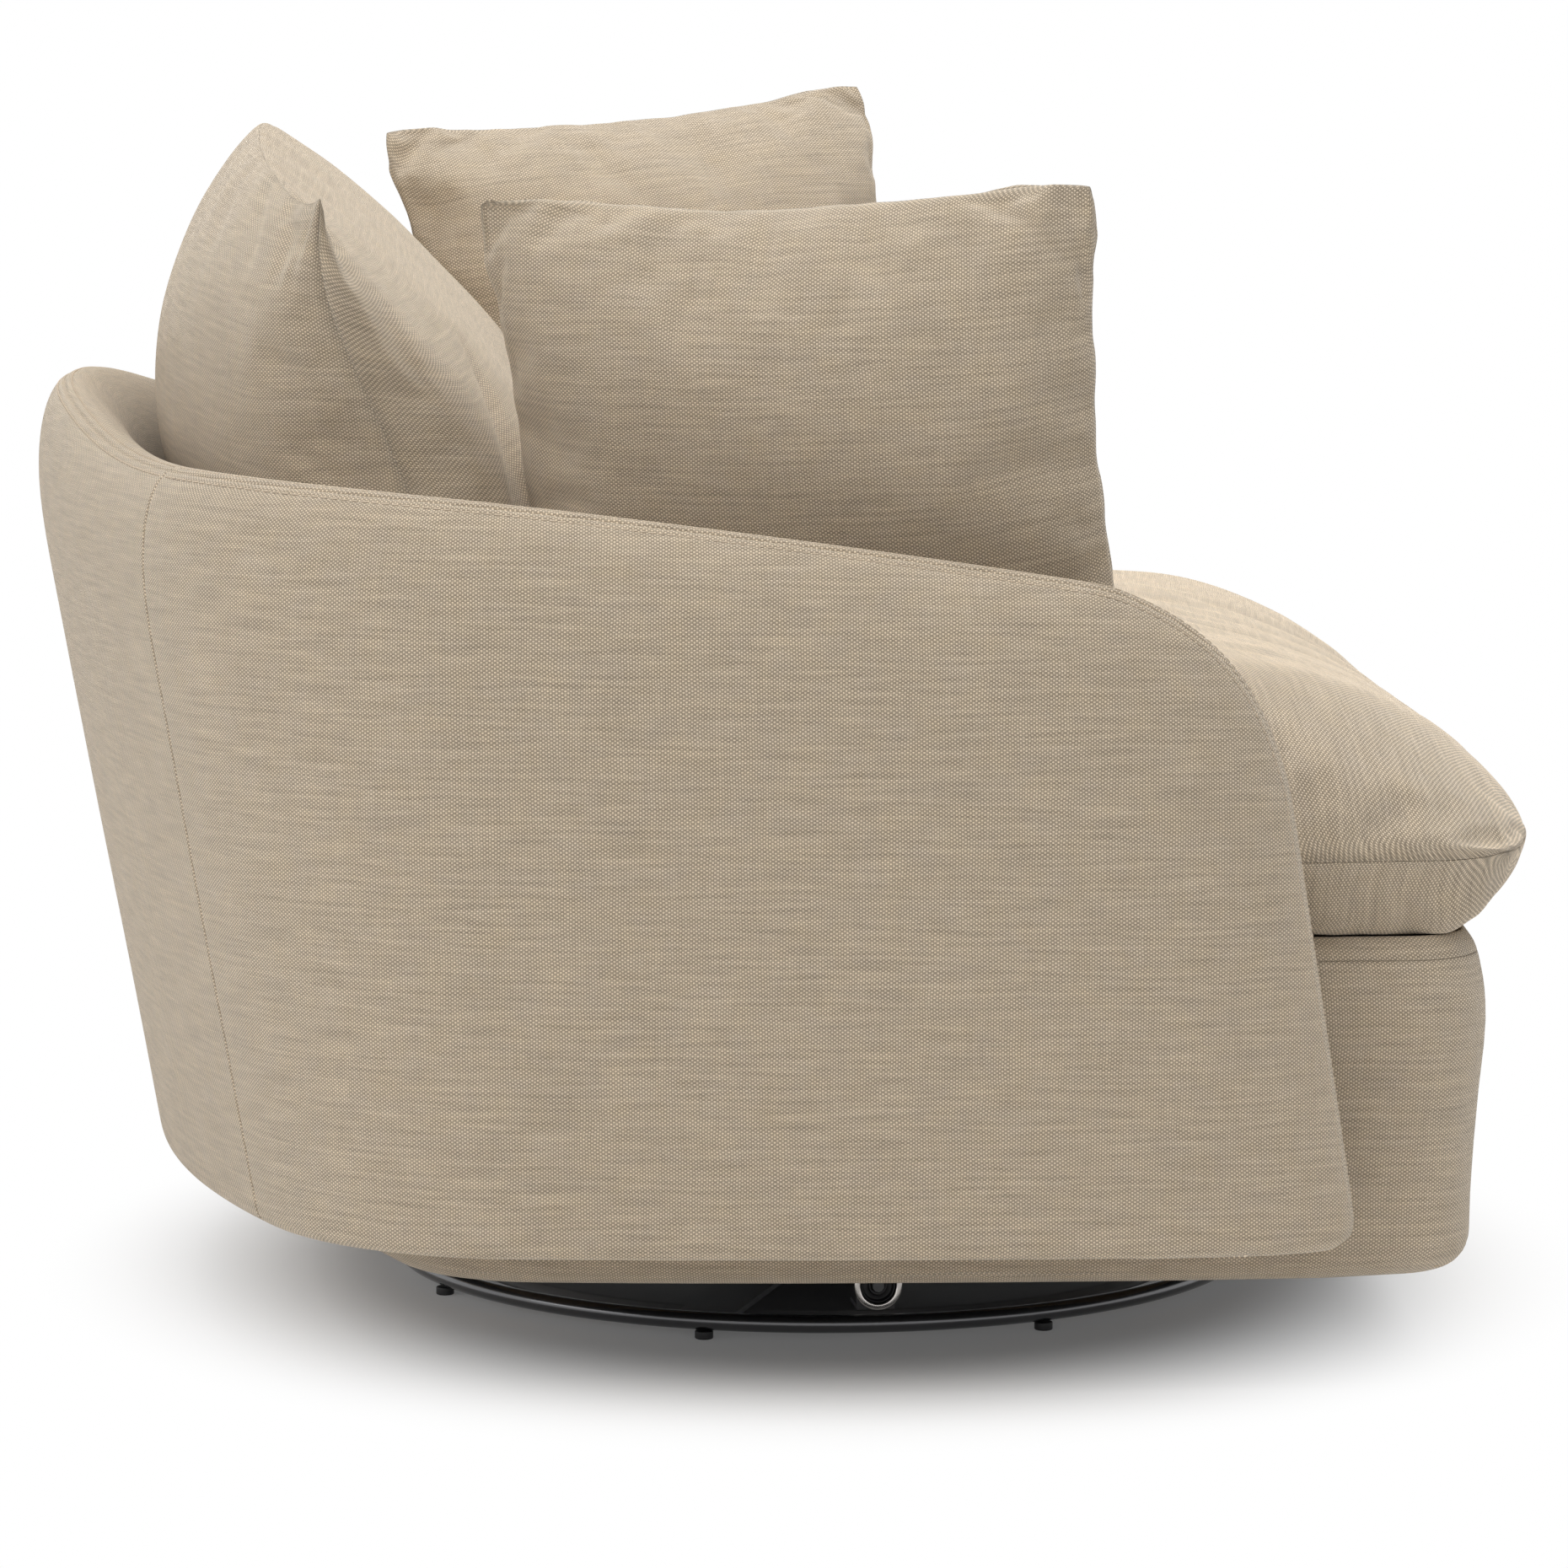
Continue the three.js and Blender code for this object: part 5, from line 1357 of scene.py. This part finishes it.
class CUDDLE_OT_tub_covers(bpy.types.Operator):
    """Builds the covers of the back and both arms, with their seams and topstitching"""
    bl_idname = "cuddle.tub_covers"
    bl_label = "Tub covers"

    def execute(self, context):
        settings = settings_of(context)
        tub = settings.tub
        cloth = cover_cloth(settings.fabric)
        seam_run = rim_run_at(COVER_SEAM)
        end = RIM_RUN[-1]
        for name, low, high, side, cad in (
            ("back_cover", -1.0, seam_run, 1, "tub_back"),
            ("arm_cover_left", seam_run, end, 1, "arm_left"),
            ("arm_cover_right", seam_run, end, -1, "arm_right"),
        ):
            piece = wall_piece(name, low, high, side, tub, cloth)
            stand_for(piece, cad, "seat_unit")
        material = sewing_thread()
        at_seam, at_foot = 0.004, 0.03
        for name, low, high, side in (
            ("back_stitching", -seam_run + at_seam, seam_run - at_seam, 1),
            ("arm_stitching_left", seam_run + at_seam, end - at_foot, 1),
            ("arm_stitching_right", seam_run + at_seam, end - at_foot, -1),
        ):
            pairs = stitch_row(low, high, side, 0, tub) + stitch_row(low, high, side, 2, tub)
            piece = threads(name, pairs, tub.stitch_radius, material)
            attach(piece, "seat_unit")
        return {"FINISHED"}


class CUDDLE_OT_plinth(bpy.types.Operator):
    """Builds the padded plinth under the seat cushion, its deck and its dust cover"""
    bl_idname = "cuddle.plinth"
    bl_label = "Plinth"

    def execute(self, context):
        settings = settings_of(context)
        self.band(settings)
        self.deck(lining_cloth("Deck cloth", (0.40, 0.35, 0.28), (0.22, 0.18, 0.14), 0.0008))
        self.dust_cover(black_dust_cloth())
        return {"FINISHED"}

    @staticmethod
    def band(settings):
        """Cover round the seat frame, from its turned-under foot up to the top panel."""
        # Rows of (inset, height)
        foot = [(0.0174, 0.0790), (0.0300, 0.0775), (0.0335, 0.0765), (0.0338, 0.0745)]
        round_edge = [(0.0315 - 0.022 * math.cos(t), 0.0975 - 0.024 * math.sin(t))
                      for t in np.linspace(math.pi / 2, 0, 9)]
        face = [(0.0090, 0.122), (0.0081, 0.139), (0.0070, 0.156), (0.0055, 0.173), (0.0040, 0.191),
                (0.0022, 0.208), (0.0008, 0.222), (0.0, 0.237), (0.0004, 0.249), (0.0012, 0.258),
                (0.0022, 0.265), (0.0036, 0.272), (0.0046, 0.2765), (0.0056, 0.2805), (0.0061, 0.2822),
                (0.0064, 0.2830)]
        top_panel = [(0.0078, 0.2836), (0.0068, 0.2842), (0.0074, 0.2862), (0.0092, 0.2900), (0.0112, 0.2930),
                     (0.0132, 0.2956), (0.0152, 0.2975), (0.0168, 0.2982), (0.0177, 0.2974), (0.0178, 0.2930),
                     (0.0178, 0.2)]
        below_seam = foot + round_edge + face
        piece = plinth_piece("plinth_band", below_seam + top_panel + foot[:1], cover_cloth(settings.fabric),
                             settings.tub.unevenness, len(below_seam))
        stand_for(piece, "plinth_cover", "seat_unit")

    @staticmethod
    def deck(material):
        """Flat padded deck on the springs, with a seam near its edge."""
        rows = [(0.0187, 0.2550), (0.0187, 0.2880), (0.0205, 0.2945), (0.0245, 0.2966), (0.0290, 0.2969),
                (0.0300, 0.2962), (0.0310, 0.2969), (0.060, 0.2974), (0.11, 0.2976)]
        loops = []
        for inset, z in rows:
            flat, _ = plinth_outline(min(inset, DECK_EDGE), 220)
            if inset > DECK_EDGE:
                centre = np.array([0, AXIS_Y])
                flat = centre + (flat - centre) * (1 - (inset - DECK_EDGE) * 2.2)
            loops.append(np.column_stack([flat, np.full(len(flat), z)]))
        points, n = np.vstack(loops), len(loops[0])
        faces = band_faces(len(rows), n)
        faces += [tuple(reversed(range(n))), tuple((len(rows) - 1) * n + k for k in range(n))]
        piece = make_object("seat_platform", points, faces, from_above(points, faces), material)
        turn_normals_out(piece)
        stand_for(piece, "seat_deck", "seat_unit")

    @staticmethod
    def dust_cover(material):
        """Thin cloth stretched under the rails, with a square opening for the swivel board."""
        outer, _ = plinth_outline(COVER_TUCK, 240)
        outer = outer - (0, AXIS_Y)
        inner = outer * (COVER_OPENING / np.abs(outer).max(1))[:, None]
        under = []
        for share in np.array([0, 0.02, 0.05, 0.1, 0.2, 0.35, 0.5, 0.65, 0.8, 0.9, 0.95, 0.98, 1]):
            loop = outer + (inner - outer) * share
            sag = math.sin(math.pi * share)
            slack = COVER_SLACK * sag
            ripple = [COVER_RIPPLE * noise.noise(Vector((*p * 40, 0))) * sag for p in loop]
            height = PLINTH_BOTTOM + COVER_LIFT - slack + np.array(ripple)
            under.append(np.column_stack([loop + (0, AXIS_Y), height]))
        rings = under + [loop + (0, 0, COVER_CLOTH) for loop in under[::-1]]
        points = np.vstack(rings)
        faces = band_faces(len(rings), len(outer), wrap=True)
        piece = make_object("dust_cover_cloth", points, faces, from_above(points, faces), material)
        turn_normals_out(piece)

        stand_for(piece, "dust_cover", "seat_unit")


class CUDDLE_OT_cushions(bpy.types.Operator):
    """Builds the seat, back and scatter cushions by cloth simulation"""
    bl_idname = "cuddle.cushions"
    bl_label = "Cushions"

    def execute(self, context):
        settings = settings_of(context)
        cushions = settings.cushions
        # Painted sheen in copies of one cloth: the cushions get twice the tub's paler colour where they turn
        # away, the seat six times, so that its top looks lighter
        cloth = cover_cloth(settings.fabric, "Cushion cloth", 2.0)
        seat_cloth_more_sheen = cover_cloth(settings.fabric, "Sitting cushion cloth", 6.0)
        walls = [bpy.data.objects[n] for n in ("back_cover", "arm_cover_left", "arm_cover_right")]

        def settle(made, neighbours, floor=None):
            """Clears a new cushion of its neighbours and finishes it."""
            piece, shape, offset = made
            push_clear(piece, neighbours, NEIGHBOUR_GAP, floor)
            finish_cushion(piece, shape, offset, cushions)
            return piece

        seat = settle(seat_cushion(cushions, seat_cloth_more_sheen), walls, DECK_TOP + DECK_GAP)
        back = settle(back_cushion(cushions, cloth), [seat] + walls)
        made = [(seat, "seat_cushion", "seat_pad"), (back, "back_cushion", "back_pad")]
        for side, where in SCATTERS.items():
            pad = scatter_cushion(f"scatter_pad_{side}", where, cushions, cloth)
            made.append((settle(pad, [seat, back] + walls), f"scatter_cushion_{side}", f"scatter_{side}"))
        for piece, cad, body in made:
            stand_for(piece, cad, body)
        return {"FINISHED"}


class CUDDLE_OT_swivel_base(bpy.types.Operator):
    """Builds the smooth ring, glides, cover plate and rollers of the swivel base"""
    bl_idname = "cuddle.swivel_base"
    bl_label = "Swivel base"

    def execute(self, context):
        axis = Matrix.Translation((0, AXIS_Y, 0))
        self.ring(axis)
        for number in range(1, GLIDE_COUNT + 1):
            self.glide(number)
        self.plate(axis)
        for number in range(1, ROLLER_COUNT + 1):
            self.roller(number)
        return {"FINISHED"}

    @staticmethod
    def ring(axis):
        gloss = smooth_finish("Gloss black plate", (0.115, 0.115, 0.12), 0.20, 0.10,
                              metallic=0.85, coat=0.5, amount=0.3)
        radius = RING_TUBE / 2
        level = GLIDE_HEIGHT + 0.0003 + radius
        tube = [(RING_RADIUS + radius * math.cos(a), level + radius * math.sin(a))
                for a in np.linspace(0, 2 * math.pi, 25)]
        stand_for(lathe("ring_tube", tube, 160, axis, gloss), "floor_ring", "base")

    @staticmethod
    def glide(number):
        angle = BASE_TURN + (number - 1) * 2 * math.pi / GLIDE_COUNT
        x, y = -RING_RADIUS * math.cos(angle), AXIS_Y - RING_RADIUS * math.sin(angle)
        place = Matrix.Translation((x, y, 0))
        outline = [(0, 0), (0.0058, 0), (0.0063, 0.0006), (0.0063, 0.0050), (0.0058, 0.0056), (0, 0.0056)]
        piece = lathe(f"glide_foot_{number}", rounded(outline, 0.0004, 3), 28, place, black_nylon())
        stand_for(piece, f"glide_{number}", "base")

    @staticmethod
    def plate(axis):
        """Round cover plate with a bent-down lip."""
        low = PLATE_TOP - 0.003
        outline = [(PLATE_BORE, low), (0.262, low), (0.2662, 0.0062), (0.2687, 0.0060),
                   (PLATE_RADIUS, 0.0085), (0.2655, 0.0128), (0.2620, PLATE_TOP), (PLATE_BORE, PLATE_TOP),
                   (PLATE_BORE, low)]
        disc = lathe("cover_plate", rounded(outline, 0.0012, 3), 128, axis, grey_paint_with_painted_light())
        stand_for(disc, "base_plate", "base")

    @staticmethod
    def roller(number):
        """Bright tyre and dark stepped hub of one roller."""
        angle = ROLLER_TURN + (number - 1) * math.pi / 2
        out = Vector((-math.cos(angle), -math.sin(angle), 0))
        middle = Matrix.Translation((out.x * ROLLER_TRACK, AXIS_Y + out.y * ROLLER_TRACK, ROLLER_LEVEL))
        place = middle @ out.to_track_quat("Z", "Y").to_matrix().to_4x4()
        half, inner = ROLLER_WIDTH / 2, ROLLER_RADIUS - 0.0042
        tyre = [(inner, 0), (inner, half), (ROLLER_RADIUS, half), (ROLLER_RADIUS, -half), (inner, -half),
                (inner, 0)]
        piece = lathe(f"roller_rim_{number}", rounded(tyre, 0.0012, 4), 48, place, bright_steel())
        stand_for(piece, f"roller_tyre_{number}", f"roller_{number}")
        hub = [(HUB_BORE, 0), (HUB_BORE, half * 0.5), (HUB_BORE + 0.002, half * 0.6),
               (HUB_BORE + 0.0024, half * 0.2), (inner - 0.0022, half * 0.12), (inner - 0.0016, half * 0.72),
               (inner - 0.0005, half * 0.72), (inner - 0.0005, -half * 0.7), (HUB_BORE, -half * 0.7),
               (HUB_BORE, 0)]
        piece = lathe(f"roller_core_{number}", rounded(hub, 0.0005, 2), 48, place, black_nylon())
        stand_for(piece, f"roller_hub_{number}", f"roller_{number}")


class CUDDLE_OT_frame_finishes(bpy.types.Operator):
    """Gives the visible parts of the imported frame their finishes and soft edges"""
    bl_idname = "cuddle.frame_finishes"
    bl_label = "Frame finishes"

    def execute(self, context):
        finishes = {
            "grey_plate": grey_paint_with_painted_light(),
            "black_steel": smooth_finish("Satin black steel", (0.02, 0.02, 0.02), 0.35, 0.1),
            "zinc_steel": smooth_finish("Zinc plate", (0.56, 0.57, 0.58), 0.3, 0.15,
                                        metallic=1.0, amount=0.25),
            "nylon": black_nylon(),
            "timber": timber("Sawn timber", (0.62, 0.46, 0.27), (0.42, 0.28, 0.15)),
            "board": timber("Plywood", (0.50, 0.36, 0.21), (0.32, 0.21, 0.11)),
            "black_cloth": black_dust_cloth(),
            "bright_steel": bright_steel(),
        }
        slots = {row["node"]: row["material_slot"] for row in frame["record"]["subparts"]}
        for name, obj in frame["nodes"].items():
            finish = finishes.get(slots[name])
            if finish is None:
                continue
            obj.data.materials.clear()
            obj.data.materials.append(finish)
            if name.startswith(("base_strap", "roller_bracket", "rail_", "bearer_", "swivel_board")):
                bevel = obj.modifiers.new("Soft edges", "BEVEL")
                bevel.width = 0.0006
                bevel.segments = 2
                bevel.limit_method = "ANGLE"
        return {"FINISHED"}


class CUDDLE_OT_stage(bpy.types.Operator):
    """Sets the floor, lamps, world and camera"""
    bl_idname = "cuddle.stage"
    bl_label = "Stage"

    def execute(self, context):
        stage = settings_of(context).stage
        scene = context.scene
        scene.view_settings.view_transform = "Standard"
        self.floor(stage)
        self.world(scene, stage)
        self.lamp("Top lamp", (0.2, -0.5, 3.2), (0, 0, 0.3), 3.4, stage.top_lamp)
        self.lamp("Rear lamp", (-1.4, 3.2, 2.0), (0, 0, 0.4), 2.4, stage.rear_lamp)
        self.lamp("Side lamp", (-2.6, 0.6, 3.0), (0, 0, 0.4), 2.4, stage.side_lamp)
        self.camera(scene, stage)
        return {"FINISHED"}

    @staticmethod
    def camera(scene, stage):
        data = bpy.data.cameras.new("Camera")
        data.sensor_width = 36
        data.lens = stage.lens
        data.clip_end = 60
        camera = bpy.data.objects.new("Camera", data)
        scene.collection.objects.link(camera)
        sine, cosine = math.sin(CAMERA_TURN), math.cos(CAMERA_TURN)
        camera.location = (-CAMERA_ACROSS * sine + CAMERA_AWAY * cosine,
                           AXIS_Y - (CAMERA_ACROSS * cosine + CAMERA_AWAY * sine), CAMERA_HEIGHT)
        level = math.cos(CAMERA_PITCH)
        look = Vector((cosine * level, -sine * level, -math.sin(CAMERA_PITCH)))
        camera.rotation_euler = look.to_track_quat("-Z", "Y").to_euler()
        scene.camera = camera

    @staticmethod
    def floor(stage):
        """Pale floor with the chair's shadow, over which a painted glow lightens the shadow a little and
        turns the floor white away from the chair.
        """
        def build(tree, shader):
            shader.inputs["Roughness"].default_value = 0.9
            shader.inputs["Specular IOR Level"].default_value = 0.1
            place = object_place(tree)
            grain = math_node(tree, "MULTIPLY", noise_node(tree, place, 3.0, 3.0)["Fac"], 0.04)
            colour = mix_colour(tree, grain, tuple(stage.floor_colour), (0.85, 0.85, 0.85))
            tree.links.new(colour, shader.inputs["Base Color"])
            # Painted light: for camera and glossy rays the floor glows white by its distance from the chair,
            # a glow of 0.08 that lifts the shadow beneath it and grows to full white between 0.35 and 0.64 m
            ray = node(tree, "ShaderNodeLightPath").outputs
            seen = math_node(tree, "MAXIMUM", ray["Is Camera Ray"], ray["Is Glossy Ray"])
            widened = vector_math(tree, "MULTIPLY", place, (1.0, 1.12, 1.0))[0]
            distance = vector_math(tree, "DISTANCE", widened, (0, AXIS_Y * 1.12, 0))["Value"]
            away = node(tree, "ShaderNodeMapRange", {
                "Value": distance, "From Min": 0.35, "From Max": 0.64, "To Min": 0.08, "To Max": 1.0},
                interpolation_type="SMOOTHSTEP").outputs[0]
            glow = node(tree, "ShaderNodeEmission", {"Color": (1, 1, 1), "Strength": 1.0}).outputs[0]
            both = node(tree, "ShaderNodeMixShader", {
                0: math_node(tree, "MULTIPLY", seen, away), 1: shader.outputs[0], 2: glow}).outputs[0]
            tree.links.new(both, tree.nodes["Material Output"].inputs["Surface"])

        rings, sides = [0.0, 1.5, 4.0, 9.0], 64
        points = [(radius * math.cos(a), radius * math.sin(a), 0.0)
                  for radius in rings for a in np.arange(sides) * 2 * math.pi / sides]
        floor = make_object("Studio_floor", points, band_faces(len(rings), sides),
                            material=new_material("Studio floor", build))
        turn_normals_out(floor)
        if floor.data.polygons[0].normal.z < 0:
            floor.data.flip_normals()

    @staticmethod
    def world(scene, stage):
        """Soft light all round, which looks white to the camera and in reflections."""
        world = bpy.data.worlds.new("Studio")
        world.use_nodes = True
        tree = world.node_tree
        background = tree.nodes["Background"]
        ray = node(tree, "ShaderNodeLightPath").outputs
        mirrored = math_node(tree, "MAXIMUM", ray["Is Glossy Ray"], ray["Is Transmission Ray"])
        seen = math_node(tree, "MAXIMUM", ray["Is Camera Ray"], mirrored)
        strength = math_node(tree, "MULTIPLY_ADD", seen, 1.0 - stage.world_light, stage.world_light)
        background.inputs["Color"].default_value = (1, 1, 1, 1)
        tree.links.new(strength, background.inputs["Strength"])
        scene.world = world

    @staticmethod
    def lamp(name, place, target, size, power):
        data = bpy.data.lights.new(name, "AREA")
        data.shape = "SQUARE"
        data.size = size
        data.energy = power
        lamp = bpy.data.objects.new(name, data)
        lamp.location = place
        lamp.rotation_euler = (Vector(target) - Vector(place)).to_track_quat("-Z", "Y").to_euler()
        bpy.context.scene.collection.objects.link(lamp)


class CuddleSettings(bpy.types.PropertyGroup):
    """All settings of the chair"""
    tub: PointerProperty(type=TubSettings)
    cushions: PointerProperty(type=CushionSettings)
    fabric: PointerProperty(type=FabricSettings)
    stage: PointerProperty(type=StageSettings)


STEPS = (CUDDLE_OT_tub_covers, CUDDLE_OT_plinth, CUDDLE_OT_cushions, CUDDLE_OT_swivel_base,
         CUDDLE_OT_frame_finishes, CUDDLE_OT_stage)


class CUDDLE_PT_panel(bpy.types.Panel):
    """Lists the chair's settings and steps"""
    bl_label = "Cuddle chair"
    bl_idname = "CUDDLE_PT_panel"
    bl_space_type = "VIEW_3D"
    bl_region_type = "UI"
    bl_category = "Cuddle chair"

    def draw(self, context):
        settings = settings_of(context)
        for part in (settings.tub, settings.cushions, settings.fabric, settings.stage):
            box = self.layout.box()
            for key in part.bl_rna.properties.keys():
                if key not in {"rna_type", "name"}:
                    box.prop(part, key)
        for step in STEPS:
            self.layout.operator(step.bl_idname)


CLASSES = (TubSettings, CushionSettings, FabricSettings, StageSettings, CuddleSettings,
           *STEPS, CUDDLE_PT_panel)


def register():
    for item in CLASSES:
        bpy.utils.register_class(item)
    bpy.types.Scene.cuddle_chair = PointerProperty(type=CuddleSettings)


def unregister():
    del bpy.types.Scene.cuddle_chair
    for item in reversed(CLASSES):
        bpy.utils.unregister_class(item)


def main():
    register()
    bpy.ops.cuddle.tub_covers()
    bpy.ops.cuddle.plinth()
    bpy.ops.cuddle.cushions()
    bpy.ops.cuddle.swivel_base()
    bpy.ops.cuddle.frame_finishes()
    bpy.ops.cuddle.stage()


if __name__ == "__main__":
    main()
